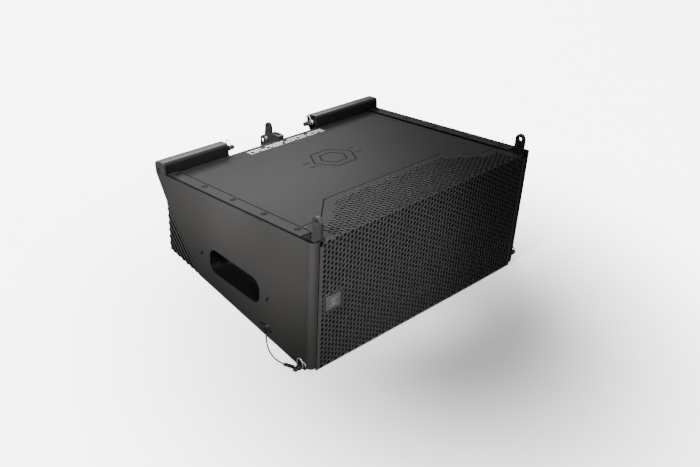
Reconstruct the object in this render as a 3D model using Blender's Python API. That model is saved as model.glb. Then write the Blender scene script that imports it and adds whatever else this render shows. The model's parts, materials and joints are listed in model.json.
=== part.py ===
"""Compact two-way line array loudspeaker: a wedge cabinet with rigging, two eight-inch woofers and a horn.

Metres, +Z up. The grille faces -Y, +X is on the right of someone who looks at the grille, and the
origin is at the bottom centre. Shapes are made in three local frames that share the X axis:
  front frame: Y is the depth behind the grille's plane, Z runs up the grille
  top frame:   Y runs back along the top's plane, Z is the height above it
  world frame: Y is the distance behind the grille's foot, Z is the height above the floor
"""

import math

import bmesh
import bpy
from mathutils import Vector

# ---------------------------------------------------------------- driving dimensions
WIDTH = 0.572  # over the side covers
FRONT_HEIGHT = 0.2653  # up the slope of the grille
DEPTH = 0.434  # along the bottom
WEDGE = math.radians(13.0)  # between top and bottom
GAP = 0.0003  # left between pieces that touch
RUNNING = 0.0003  # round a shaft or a sliding piece
OVERCUT = 0.01  # how far a cutter reaches past what it cuts
FAR = 0.03  # well past the cabinet

PLY = 0.015  # cabinet panels
COVER = 0.0035  # side cover skin
COVER_LIFT = 0.001  # clear of the floor
RAIL = 0.0022  # rails on the top and runners under the bottom
RAIL_WIDTH = 0.0238
SHEET = 0.0015  # grille steel
REBATE = 0.004  # sunk place for the grille's flange in the top panel
REBATE_PLAY = 0.0008  # round the flange
REBATE_EXTRA = 0.005  # how far the rebate runs under each rail
PANEL_FRONT = 0.0045  # front edge of the top and bottom panels

CHANNEL_BACK = 0.036  # depth of the corner channel behind the grille's plane
CHANNEL_WIDTH = 0.0282
CHANNEL_WALL = 0.0026
CHANNEL_LIFT = 0.008  # clear of the floor, so that a lower cabinet's link can enter
CORNER_RADIUS = 0.010
CORNER_RETURN = 0.012
POST_WIDTH = 0.0145  # visible strip beside the grille

LINK_THICK = 0.0065
LINK_WIDTH = 0.021
LINK_LENGTH = 0.125
LINK_RISE = 0.036
LINK_HOLE = 0.0045

BAY_SIDE = 0.067  # depth of the grille's flange at its ends
BAY_MIDDLE = 0.1257
BAY_KNEE = 0.2105  # where the flange starts to deepen
BAY_SHOULDER = 0.1515
FOLD_BACK = 0.009  # where the fold at the top of the grille starts, below the corner
FOLD_STEPS = 5
GRILLE_LIFT = 0.002  # from the foot of the slope to the grille's lower edge

HANDLE_LENGTH = 0.147
HANDLE_HEIGHT = 0.048
HANDLE_RADIUS = 0.017
HANDLE_FORWARD = 0.0011  # centre, in front of the middle of the depth
HANDLE_DROP = 0.03585  # centre, below the middle of the height
CUP_WALL = 0.0025
CUP_DEEP = 0.048

BAFFLE_THICK = 0.015
WOOFER_X = 0.1545
WOOFER_FLANGE = 0.1015
WOOFER_CUTOUT = 0.0915
CONE_RADIUS = 0.0740
CONE_TRAVEL = 0.004
HORN_HALF_WIDTH = 0.046
HORN_HALF_HEIGHT = 0.098
HORN_LENGTH = 0.118
HORN_FLANGE = 0.003
HORN_LIP = 0.004
HORN_WALL = 0.003
FOAM = 0.007
FOAM_PLAY = 0.004  # between the foam and the panels
BADGE_IN = 0.0483  # from the side in to the middle of the badge
BADGE_UP = 0.135

LEFT_BAR_END = -0.134
RIGHT_BAR_END = 0.100
BAR_AWAY = 0.0015  # behind the top's rear edge
BAR_DEPTH = 0.0315
BAR_RISE = 0.0225
BAR_DROP = 0.030
EAR_DROP = 0.0565
STORED_PIN_RISE = 0.006  # above the top
BORE_PLAY = 0.002  # beyond the tip of a stored pin
BAR_ROUND = 0.0095
BAR_FRONT_ROUND = 0.0057
BAR_WAIST = -0.004  # height at which the bar's rear face starts to slope in
BAR_FOOT = 0.006  # width of its lower edge
EAR_MARGIN = 0.0015  # how far the side cover's ear stands out round the bar
BOLT_BACK = 0.019  # behind the bar's front
BOLT_RISE = 0.0015  # above the top

CHEEK = 0.0035
FORK_REACH = 0.063  # behind the rear panel
FORK_DROP = 0.0447  # its top, below the grille's top edge
FORK_HEIGHT = 0.0706
FORK_WEB = 0.006
FORK_STEP = 0.0022
PIVOT_STAND = 0.0015  # how far the pivot stands out of the cheeks
FORK_HOLE_IN = 0.0068  # from the tail in to the middle of the spare hole
FORK_HOLE_DOWN = 0.0249
LINK_PIVOT_REACH = 0.043
LINK_PIVOT_DROP = 0.0176  # below the top of the fork
REAR_LINK_FOOT = 0.0115
REAR_LINK_TIP = 0.0088
REAR_LINK_RISE = 0.0335

PIN_SHAFT = 0.0040
PIN_FLANGE = 0.0062
PIN_BODY = 0.0052
PIN_KNOB = 0.0047
PIN_END = 0.0215
BUTTON_BORE = 0.0100
BUTTON_RADIUS = 0.0030
BUTTON_TRAVEL = 0.0022
BAIL_WIRE = 0.0011
BAIL_REACH = 0.018
BAIL_HALF = 0.0078
BAIL_PLACE = 0.0100  # along the head
FRONT_PIN_UP = 0.0148

SOCKET_BODY = 0.0130
SOCKET_FLANGE = 0.0150
SOCKET_BORE = 0.0108
SOCKET_DEEP = 0.024
SOCKET_FLOOR = 0.003
SOCKET_PLACES = (-0.022, 0.022)
SOCKET_DROP = 0.02065  # below the middle of the height
PLATE_SIZE = (0.120, 0.062)
PLATE_FACE = 0.003  # face of the input plate, behind the rear panel
SOCKET_RIM = 0.002
BRACE_AWAY = 0.022  # behind the handle
BRACE_THICK = 0.012
WINDOW_HALF_HEIGHT = 0.042
WINDOW_IN = 0.06  # from the inside width in to the window
BOARD_WIDTH = 0.12
BOARD_DEPTH = 0.045
BOARD_THICK = 0.003
BOARD_AWAY = 0.022  # in front of the rear panel's outer face
COIL_RADIUS = 0.019
COIL_BORE = 0.006
COIL_HEIGHT = 0.018

LANYARD_WIRE = 0.0012
WIRE_SPACING = 5  # of the wire's points, in radii
EYE_WIRE = 0.0009
EYE_STEPS = 14
EYE_PLAY = 0.0010
EYE_OPENING = math.radians(44)
NECK_OUT = 0.0044  # middle of the front pin's neck, out from the side cover
FERRULE_WIDTH = 0.0074
FERRULE_HEIGHT = 0.0046
TAB_LONG = 0.017
TAB_WIDE = 0.015
TAB_THICK = 0.003
TAB_PLACE = (0.120, 0.0240)  # y and z on the left side cover

# ---------------------------------------------------------------- sizes that follow
HALF = WIDTH / 2
LEAN = WEDGE / 2
SKIN = RAIL + GAP  # from the outer planes in to the panels
WALL_OUT = HALF - COVER - GAP
WALL_IN = WALL_OUT - PLY
INSIDE = WALL_IN - GAP  # half width of what stands between the side walls
CHANNEL_IN = HALF - CHANNEL_WIDTH
BETWEEN_CHANNELS = CHANNEL_IN - GAP
BACK = DEPTH * math.cos(LEAN)  # rear plane, behind the grille's plane
PANEL_IN = SKIN + PLY + GAP  # from the outer planes in to what stands between the panels
BAFFLE_FRONT = CHANNEL_BACK + GAP
MIDDLE_UP = FRONT_HEIGHT / 2
TOP_LENGTH = DEPTH  # the wedge is symmetrical
HANDLE_DEPTH = BACK / 2 - HANDLE_FORWARD
HANDLE_UP = MIDDLE_UP - HANDLE_DROP
SOCKET_UP = MIDDLE_UP - SOCKET_DROP
BRACE_PLACE = HANDLE_DEPTH + HANDLE_LENGTH / 2 + BRACE_AWAY
BAR_FRONT = TOP_LENGTH + BAR_AWAY
BAR_BACK = BAR_FRONT + BAR_DEPTH
BOLT_PLACE = (BAR_FRONT + BOLT_BACK, BOLT_RISE)  # along and above the top
FORK_TOP = FRONT_HEIGHT - FORK_DROP
FORK_LOW = FORK_TOP - FORK_HEIGHT
LINK_PIVOT_UP = FORK_TOP - LINK_PIVOT_DROP
CHANNEL_FRONT = SHEET + 2 * GAP + CHANNEL_WALL - 0.001  # front of the channel's hollow
FRONT_PIN_DEPTH = CHANNEL_FRONT + RUNNING + LINK_WIDTH / 2  # through the middle of a link
PIN_LENGTH = CHANNEL_WIDTH - 0.001  # its tip stays inside the channel


def from_front(depth, up):
    """World (y, z) of a point given behind and up the grille's plane."""
    return (
        up * math.sin(LEAN) + depth * math.cos(LEAN),
        up * math.cos(LEAN) - depth * math.sin(LEAN),
    )


def from_top(along, rise):
    """World (y, z) of a point given along and above the top's plane."""
    start_y, start_z = from_front(0.0, FRONT_HEIGHT)
    return (
        start_y + along * math.cos(WEDGE) + rise * math.sin(WEDGE),
        start_z - along * math.sin(WEDGE) + rise * math.cos(WEDGE),
    )


def meet(point, direction, other, other_direction):
    """Where two lines of the side view cross."""
    cross = direction[0] * other_direction[1] - direction[1] * other_direction[0]
    away = (other[0] - point[0], other[1] - point[1])
    share = (away[0] * other_direction[1] - away[1] * other_direction[0]) / cross
    return (point[0] + share * direction[0], point[1] + share * direction[1])


def envelope(bottom=0.0, front=0.0, top=0.0, rear=0.0):
    """Side view corners of the wedge, set in from its planes: front foot, front top, rear top, rear foot."""
    up = (math.sin(LEAN), math.cos(LEAN))
    back = (math.cos(WEDGE), -math.sin(WEDGE))
    floor = ((0.0, bottom), (1.0, 0.0))
    face = (from_front(front, 0.0), up)
    lid = (from_top(0.0, -top), back)
    tail = (from_front(BACK - rear, 0.0), up)
    return [meet(*floor, *face), meet(*lid, *face), meet(*lid, *tail), meet(*floor, *tail)]


# ---------------------------------------------------------------- scene and materials
def clear_scene():
    for obj in list(bpy.data.objects):
        bpy.data.objects.remove(obj, do_unlink=True)


def finish(name, colour, roughness, metallic=0.0):
    """A Principled material, made once for each name."""
    found = bpy.data.materials.get(name)
    if found:
        return found
    made = bpy.data.materials.new(name)
    made.use_nodes = True
    shader = made.node_tree.nodes["Principled BSDF"]
    shader.inputs["Base Color"].default_value = (*colour, 1.0)
    shader.inputs["Roughness"].default_value = roughness
    shader.inputs["Metallic"].default_value = metallic
    made.diffuse_color = (*colour, 1.0)
    return made


def texture_paint():
    return finish("textured_black_paint", (0.035, 0.034, 0.033), 0.55)


def black_plastic():
    return finish("black_plastic", (0.012, 0.012, 0.012), 0.5)


def birch_ply():
    return finish("painted_plywood", (0.04, 0.039, 0.038), 0.6)


def black_steel():
    return finish("black_steel", (0.02, 0.02, 0.02), 0.4, 0.6)


def bright_steel():
    return finish("bright_steel", (0.75, 0.75, 0.76), 0.2, 1.0)


def magnet_grey():
    return finish("zinc_grey", (0.3, 0.3, 0.31), 0.4, 0.9)


def paper_black():
    return finish("coated_paper", (0.015, 0.015, 0.016), 0.7)


def soft_rubber():
    return finish("soft_rubber", (0.02, 0.02, 0.02), 0.8)


def open_foam():
    return finish("open_foam", (0.008, 0.008, 0.008), 0.95)


def board_green():
    return finish("circuit_board", (0.02, 0.12, 0.04), 0.5)


def copper():
    return finish("copper_winding", (0.6, 0.25, 0.12), 0.35, 1.0)


class Frames:
    """The empties that carry the local frames."""

    def __init__(self):
        self.world = self.empty("cabinet_frame", None)
        self.front = self.empty("front_frame", self.world)
        self.front.rotation_euler.x = -LEAN
        self.top = self.empty("top_frame", self.world)
        self.top.rotation_euler.x = -WEDGE
        self.top.location = (0.0, *from_front(0.0, FRONT_HEIGHT))

    @staticmethod
    def empty(name, parent, location=(0.0, 0.0, 0.0)):
        made = bpy.data.objects.new(name, None)
        bpy.context.scene.collection.objects.link(made)
        made.parent = parent
        made.location = location
        made.empty_display_size = 0.03
        return made


def add(name, mesh, material, parent, location=(0.0, 0.0, 0.0)):
    """Puts a mesh into the scene as a sub-part."""
    obj = bpy.data.objects.new(name, mesh)
    bpy.context.scene.collection.objects.link(obj)
    obj.parent = parent
    obj.location = location
    if material:
        mesh.materials.append(material)
    return obj


def mesh_of(name, maker):
    """Runs maker on a new bmesh, turns its faces outwards and returns it as a mesh."""
    shape = bmesh.new()
    maker(shape)
    bmesh.ops.recalc_face_normals(shape, faces=shape.faces)
    mesh = bpy.data.meshes.new(name)
    shape.to_mesh(mesh)
    shape.free()
    return mesh


# ---------------------------------------------------------------- shape makers
ORDERS = {
    "x": lambda u, v, along: (along, u, v),
    "y": lambda u, v, along: (u, along, v),
    "z": lambda u, v, along: (u, v, along),
}


def prism(outline, low, high, axis="x"):
    """A flat outline pushed along an axis. The outline's points are the other two axes, in order."""
    place = ORDERS[axis]

    def make(shape):
        near = [shape.verts.new(place(u, v, low)) for u, v in outline]
        far = [shape.verts.new(place(u, v, high)) for u, v in outline]
        shape.faces.new(near)
        shape.faces.new(far)
        for i, corner in enumerate(near):
            after = (i + 1) % len(near)
            shape.faces.new((corner, near[after], far[after], far[i]))

    return mesh_of("prism", make)


def block(low, high):
    outline = [(low[1], low[2]), (high[1], low[2]), (high[1], high[2]), (low[1], high[2])]
    return prism(outline, low[0], high[0])


def turned(profile, segments=32, axis="y"):
    """A turned shape. Its profile holds (radius, along) points, and closes on itself or on the axis."""
    place = ORDERS[axis]
    on_axis = profile[0][0] == 0.0 and profile[-1][0] == 0.0

    def ring(shape, radius, along):
        if radius == 0.0:
            return [shape.verts.new(place(0.0, 0.0, along))]
        turns = [2 * math.pi * i / segments for i in range(segments)]
        return [
            shape.verts.new(place(radius * math.cos(turn), radius * math.sin(turn), along))
            for turn in turns
        ]

    def make(shape):
        rings = [ring(shape, radius, along) for radius, along in profile]
        pairs = list(zip(rings, rings[1:]))
        if not on_axis:
            pairs.append((rings[-1], rings[0]))
        for one, other in pairs:
            for i in range(segments):
                j = (i + 1) % segments
                corners = [one[i % len(one)], one[j % len(one)]]
                corners += [other[j % len(other)], other[i % len(other)]]
                shape.faces.new(list(dict.fromkeys(corners)))

    return mesh_of("turned", make)


def rounded(width, height, radius, steps=5):
    """Outline of a rounded rectangle about (0, 0)."""
    points = []
    for turn in range(4):
        start = turn * math.pi / 2
        centre_u = (width / 2 - radius) * (1 if turn in (0, 3) else -1)
        centre_v = (height / 2 - radius) * (1 if turn in (0, 1) else -1)
        for step in range(steps + 1):
            angle = start + step * math.pi / 2 / steps
            points.append(
                (centre_u + radius * math.cos(angle), centre_v + radius * math.sin(angle))
            )
    return points


def arc(centre, radius, start, end, steps):
    """Points along an arc, in degrees, both ends included."""
    angles = [math.radians(start + (end - start) * i / steps) for i in range(steps + 1)]
    return [(centre[0] + radius * math.cos(a), centre[1] + radius * math.sin(a)) for a in angles]


def moved(outline, u, v):
    return [(a + u, b + v) for a, b in outline]


def mirrored(outline):
    """The outline with its first coordinate turned round."""
    return [(-u, v) for u, v in reversed(outline)]


def tray(outline, inner, depth, wall):
    """A tray that opens at x = 0 and is closed at x = depth."""

    def make(shape):
        loops = []
        for points, x in ((outline, 0.0), (outline, depth), (inner, depth - wall), (inner, 0.0)):
            loops.append([shape.verts.new((x, u, v)) for u, v in points])
        for one, other in ((0, 1), (2, 3), (3, 0)):
            for i in range(len(outline)):
                j = (i + 1) % len(outline)
                corners = (loops[one][i], loops[one][j], loops[other][j], loops[other][i])
                shape.faces.new(corners)
        shape.faces.new(loops[1])
        shape.faces.new(loops[2])

    return mesh_of("tray", make)


def duct(outside, inside):
    """A rectangular tube along Y. Each list holds (along, half width, half height) from front to back."""

    def loop(shape, along, half_x, half_z):
        corners = ((-half_x, -half_z), (half_x, -half_z), (half_x, half_z), (-half_x, half_z))
        return [shape.verts.new((x, along, z)) for x, z in corners]

    def make(shape):
        loops = [loop(shape, *station) for station in [*outside, *reversed(inside)]]
        for one, other in zip(loops, loops[1:] + loops[:1]):
            for i in range(4):
                j = (i + 1) % 4
                shape.faces.new((one[i], one[j], other[j], other[i]))

    return mesh_of("duct", make)


def wire(name, points, radius, material, parent, resolution=2):
    """A round wire as a bevelled curve."""
    curve = bpy.data.curves.new(name, "CURVE")
    curve.dimensions = "3D"
    curve.bevel_depth = radius
    curve.bevel_resolution = resolution
    curve.use_fill_caps = True
    curve.materials.append(material)
    spline = curve.splines.new("POLY")
    spline.points.add(len(points) - 1)
    for point, place in zip(spline.points, points):
        point.co = (*place, 1.0)
    obj = bpy.data.objects.new(name, curve)
    bpy.context.scene.collection.objects.link(obj)
    obj.parent = parent
    return obj


def boolean(obj, mesh, parent, operation="DIFFERENCE", location=(0.0, 0.0, 0.0)):
    """Cuts obj with a hidden helper, or joins the helper to it."""
    helper = add(f"{obj.name}_helper", mesh, None, parent, location)
    helper.hide_render = True
    helper.display_type = "WIRE"
    modifier = obj.modifiers.new("boolean", "BOOLEAN")
    modifier.operation = operation
    modifier.object = helper
    modifier.solver = "EXACT"


def smooth(obj, angle=35.0):
    obj.data.shade_smooth()
    obj.data.set_sharp_from_angle(angle=math.radians(angle))


def both_sides():
    """Name and sign of each side."""
    return (("left", -1), ("right", 1))


def span(sign, inner, outer):
    """Low and high x of something that lies between two distances from the middle, on one side."""
    return sorted((sign * inner, sign * outer))


# ---------------------------------------------------------------- cabinet
def panel_plan(front, rear):
    """Plan of the top or bottom panel: narrow between the corner channels, then as wide as the inside."""
    step = CHANNEL_BACK / math.cos(LEAN) + PLY * math.tan(LEAN) + 2 * GAP
    right = [(BETWEEN_CHANNELS, front), (BETWEEN_CHANNELS, step), (INSIDE, step), (INSIDE, rear)]
    return right + mirrored(right)


def bay_outline(clearance, front, half):
    """Plan of the grille's flange on the top, grown by the clearance and as wide as twice half."""
    slant = clearance * math.tan(math.radians(22.5))
    right = [
        (half, front),
        (half, BAY_SIDE + clearance),
        (BAY_KNEE + slant, BAY_SIDE + clearance),
        (BAY_SHOULDER + slant, BAY_MIDDLE + clearance),
    ]
    return right + mirrored(right)


def cabinet(frames):
    top = add(
        "top_panel",
        prism(panel_plan(PANEL_FRONT, TOP_LENGTH), -SKIN - PLY, -SKIN, "z"),
        birch_ply(),
        frames.top,
    )
    sunk = bay_outline(REBATE_PLAY, PANEL_FRONT - OVERCUT, BETWEEN_CHANNELS + REBATE_EXTRA)
    boolean(top, prism(sunk, -SKIN - REBATE, OVERCUT, "z"), frames.top)
    add(
        "bottom_panel",
        prism(panel_plan(PANEL_FRONT, DEPTH), SKIN, SKIN + PLY, "z"),
        birch_ply(),
        frames.world,
    )
    outer = envelope(PANEL_IN, 0.0, PANEL_IN, 0.0)
    inner = envelope(PANEL_IN, 0.0, PANEL_IN, PLY)
    rear = add(
        "rear_panel",
        prism([outer[3], outer[2], inner[2], inner[3]], -INSIDE, INSIDE),
        birch_ply(),
        frames.world,
    )
    for x in SOCKET_PLACES:
        hole = turned(capsule_profile(SOCKET_BODY + GAP, BACK - PLY - OVERCUT, BACK + OVERCUT), 20)
        boolean(rear, hole, frames.front, location=(x, 0.0, SOCKET_UP))
    for side, sign in both_sides():
        low, high = span(sign, WALL_IN, WALL_OUT)
        wall = add(
            f"side_wall_{side}",
            prism(envelope(SKIN, CHANNEL_BACK + GAP, SKIN, 0.0), low, high),
            birch_ply(),
            frames.world,
        )
        boolean(wall, handle_prism(CUP_WALL + GAP, low - OVERCUT, high + OVERCUT), frames.front)


def capsule_profile(radius, low, high):
    """Profile of a plain cylinder."""
    return [(0.0, low), (radius, low), (radius, high), (0.0, high)]


def handle_outline(grow):
    size = (HANDLE_LENGTH + 2 * grow, HANDLE_HEIGHT + 2 * grow)
    return moved(rounded(*size, HANDLE_RADIUS + grow), HANDLE_DEPTH, HANDLE_UP)


def handle_prism(grow, low, high):
    return prism(handle_outline(grow), low, high)


def bar_section(grow=0.0):
    """Side view, along and above the top, of a rear bar. grow sets its front out a little."""
    front = BAR_FRONT - grow
    heel = TOP_LENGTH + GAP + BAR_DROP * math.tan(LEAN)
    outer = [(heel, -BAR_DROP), (front, -SKIN + 2 * GAP)]
    crown = arc((front + BAR_FRONT_ROUND, BAR_RISE - BAR_FRONT_ROUND), BAR_FRONT_ROUND, 180, 90, 4)
    tail = arc((BAR_BACK - BAR_ROUND, BAR_RISE - BAR_ROUND), BAR_ROUND, 90, 0, 6)
    return outer + crown + tail + [(BAR_BACK, BAR_WAIST), (heel + BAR_FOOT, -BAR_DROP)]


def cover_outline():
    """Side view, in the world frame, of a side cover with its ear behind the bar."""
    corners = envelope(COVER_LIFT, CORNER_RETURN + GAP, GAP, 0.0)
    ear = bar_section(EAR_MARGIN)[2:-2]
    rim = [from_top(along, rise) for along, rise in ear]
    neck = from_top(BAR_FRONT - EAR_MARGIN, -GAP)
    heel = from_top(BAR_BACK, BAR_WAIST)
    waist = from_top(TOP_LENGTH + EAR_DROP * math.tan(LEAN), -EAR_DROP)
    return [corners[0], corners[1], neck, *rim, heel, waist, corners[3]]


def covers(frames):
    for side, sign in both_sides():
        low, high = span(sign, HALF - COVER, HALF)
        cover = add(f"side_cover_{side}", prism(cover_outline(), low, high), texture_paint(), frames.world)
        low, high = low - OVERCUT, high + OVERCUT
        boolean(cover, handle_prism(0.0, low, high), frames.front)
        pin_hole = turned(capsule_profile(PIN_SHAFT + RUNNING, low, high), 16, "x")
        boolean(cover, pin_hole, frames.front, location=(0.0, FRONT_PIN_DEPTH, FRONT_PIN_UP))
        recess = prism(rounded(0.009, 0.014, 0.0044, 4), low, high)
        boolean(cover, recess, frames.top, location=(0.0, *BOLT_PLACE))
        bolt = [
            (0.0, 0.0),
            (0.0040, 0.0),
            (0.0040, 0.0022),
            (0.0034, 0.0028),
            (0.0020, 0.0028),
            (0.0020, 0.0012),
            (0.0, 0.0012),
        ]
        start = sign * (HALF - COVER + GAP)
        profile = [(radius, sign * along) for radius, along in bolt]
        head = add(
            f"rear_bar_bolt_{side}",
            turned(profile, 12, "x"),
            black_steel(),
            frames.top,
            (start, *BOLT_PLACE),
        )
        smooth(head)
        cup = tray(handle_outline(CUP_WALL), handle_outline(0.0), -sign * CUP_DEEP, -sign * CUP_WALL)
        add(f"handle_cup_{side}", cup, black_plastic(), frames.front, (sign * WALL_OUT, 0.0, 0.0))


def rails(frames):
    start = CHANNEL_BACK / math.cos(LEAN) + 2 * GAP
    for side, sign in both_sides():
        low, high = span(sign, CHANNEL_IN, CHANNEL_IN + RAIL_WIDTH)
        add(
            f"top_rail_{side}",
            block((low, start, -RAIL), (high, TOP_LENGTH, 0.0)),
            texture_paint(),
            frames.top,
        )
        add(
            f"bottom_runner_{side}",
            block((low, start, 0.0), (high, DEPTH, RAIL)),
            black_plastic(),
            frames.world,
        )


# ---------------------------------------------------------------- front rigging
def channel_section(sign):
    """Plan of the corner channel: its x and its depth behind the grille's plane."""
    post = HALF - POST_WIDTH
    face = SHEET + 2 * GAP
    round_end = arc((HALF - CORNER_RADIUS, CORNER_RADIUS), CORNER_RADIUS, -90, 0, 8)
    outline = [(CHANNEL_IN, face), (post, face), (post, 0.0), *round_end]
    outline += [(HALF, CORNER_RETURN), (WALL_OUT, CORNER_RETURN), (WALL_OUT, CHANNEL_BACK)]
    outline += [(CHANNEL_IN, CHANNEL_BACK)]
    return outline if sign > 0 else mirrored(outline)


def link_outline(length, width):
    """Side view of a link: a flat bar with a round top, its foot at (0, 0)."""
    half = width / 2
    return [(-half, 0.0), (half, 0.0), *arc((0.0, length - half), half, 0, 180, 8)]


def front_rigging(frames):
    slab = envelope(CHANNEL_LIFT, -FAR, GAP, -FAR)
    cavity_low = CHANNEL_IN + CHANNEL_WALL
    cavity_high = WALL_OUT - CHANNEL_WALL
    for side, sign in both_sides():
        channel = add(
            f"front_channel_{side}",
            prism(channel_section(sign), -FAR, FRONT_HEIGHT + FAR, "z"),
            texture_paint(),
            frames.front,
        )
        boolean(channel, prism(slab, -WIDTH, WIDTH), frames.world, "INTERSECT")
        low, high = span(sign, cavity_low, cavity_high)
        hollow_back = CHANNEL_BACK - CHANNEL_WALL
        hollow = block((low, CHANNEL_FRONT, -2 * FAR), (high, hollow_back, FRONT_HEIGHT + 2 * FAR))
        boolean(channel, hollow, frames.front)
        low, high = span(sign, CHANNEL_IN - OVERCUT, HALF + OVERCUT)
        bore = turned(capsule_profile(PIN_SHAFT + RUNNING, low, high), 16, "x")
        boolean(channel, bore, frames.front, location=(0.0, FRONT_PIN_DEPTH, FRONT_PIN_UP))
        outline = link_outline(LINK_LENGTH, LINK_WIDTH)
        low, high = span(sign, cavity_low + RUNNING, cavity_low + RUNNING + LINK_THICK)
        tip = FRONT_HEIGHT + LINK_RISE
        foot = (0.0, FRONT_PIN_DEPTH, tip - LINK_LENGTH)
        link = add(f"front_link_{side}", prism(outline, low, high), black_steel(), frames.front, foot)
        eye = turned(capsule_profile(LINK_HOLE, low - OVERCUT, high + OVERCUT), 16, "x")
        boolean(link, eye, frames.front, location=(0.0, FRONT_PIN_DEPTH, tip - LINK_WIDTH / 2))


# ---------------------------------------------------------------- quick-release pins
def pin_profile():
    """Shaft, flange, body and knob of a pin, with the button's bore. Along 0 is the face it seats on."""
    bore_floor = PIN_END - BUTTON_BORE
    bore = BUTTON_RADIUS + RUNNING
    return [
        (0.0, -PIN_LENGTH),
        (PIN_SHAFT * 0.6, -PIN_LENGTH),
        (PIN_SHAFT, -PIN_LENGTH + 0.002),
        (PIN_SHAFT, GAP),
        (PIN_FLANGE, GAP),
        (PIN_FLANGE, 0.0024),
        (PIN_SHAFT, 0.0030),
        (PIN_SHAFT, 0.0058),
        (PIN_BODY, 0.0064),
        (PIN_BODY, 0.0142),
        (PIN_SHAFT, 0.0152),
        (PIN_SHAFT, 0.0170),
        (PIN_KNOB, 0.0178),
        (PIN_KNOB, PIN_END - 0.0006),
        (PIN_KNOB - 0.0006, PIN_END),
        (bore, PIN_END),
        (bore, bore_floor),
        (0.0, bore_floor),
    ]


def bail_points(sign):
    """A bail that stands up and swings about a line through the pin's body, along the depth."""
    inside, outside = PIN_BODY - 0.0012, PIN_BODY + 0.0018
    loop = arc((0.0, BAIL_REACH - BAIL_HALF), BAIL_HALF, 0, 180, 10)
    side = [(inside, 0.0), (outside, 0.0), (BAIL_HALF, 0.0016), *loop]
    side += [(-BAIL_HALF, 0.0016), (-outside, 0.0), (-inside, 0.0)]
    return [(sign * BAIL_PLACE, depth, up) for depth, up in side]


def quick_release_pin(name, frames, seat, sign):
    """A ball-lock pin seated at a point of the front frame, which pulls out along sign * X."""
    holder = frames.empty(f"{name}_frame", frames.front, seat)
    profile = [(radius, sign * along) for radius, along in pin_profile()]
    body = add(name, turned(profile, 16, "x"), bright_steel(), holder)
    smooth(body)
    cross = turned(capsule_profile(BAIL_WIRE + RUNNING, -OVERCUT, OVERCUT), 10, "y")
    boolean(body, cross, holder, location=(sign * BAIL_PLACE, 0.0, 0.0))
    wire(f"{name}_bail", bail_points(sign), BAIL_WIRE, bright_steel(), holder, resolution=1)
    low = PIN_END - BUTTON_BORE + BUTTON_TRAVEL + RUNNING
    high = PIN_END + BUTTON_TRAVEL + RUNNING
    button = [(0.0, low), (BUTTON_RADIUS, low), (BUTTON_RADIUS, high - 0.0006)]
    button += [(BUTTON_RADIUS - 0.0006, high), (0.0, high)]
    profile = [(radius, sign * along) for radius, along in button]
    smooth(add(f"{name}_button", turned(profile, 12, "x"), black_plastic(), holder))
    return holder


def stored_pin_place(frames):
    """Where the spare pins sit in the inner ends of the rear bars, in the front frame."""
    y, z = from_top((BAR_FRONT + BAR_BACK) / 2, STORED_PIN_RISE)
    depth = y * math.cos(LEAN) - z * math.sin(LEAN)
    up = y * math.sin(LEAN) + z * math.cos(LEAN)
    return depth, up


def pins(frames):
    for side, sign in both_sides():
        seat = (sign * HALF, FRONT_PIN_DEPTH, FRONT_PIN_UP)
        quick_release_pin(f"front_pin_{side}", frames, seat, sign)
    depth, up = stored_pin_place(frames)
    quick_release_pin("rear_pin_left", frames, (LEFT_BAR_END, depth, up), 1)
    quick_release_pin("rear_pin_right", frames, (RIGHT_BAR_END, depth, up), -1)


# ---------------------------------------------------------------- rear bars and link
def rear_bars(frames):
    depth, up = stored_pin_place(frames)
    section = bar_section()
    for side, sign, end in (("left", -1, LEFT_BAR_END), ("right", 1, RIGHT_BAR_END)):
        low, high = sorted((sign * (HALF - COVER - GAP), end))
        bar = add(f"rear_bar_{side}", prism(section, low, high), black_plastic(), frames.top)
        smooth(bar)
        near, far = sorted((end - sign * OVERCUT, end + sign * (PIN_LENGTH + BORE_PLAY)))
        bore = turned(capsule_profile(PIN_SHAFT + RUNNING, near, far), 16, "x")
        boolean(bar, bore, frames.front, location=(0.0, depth, up))


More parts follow.
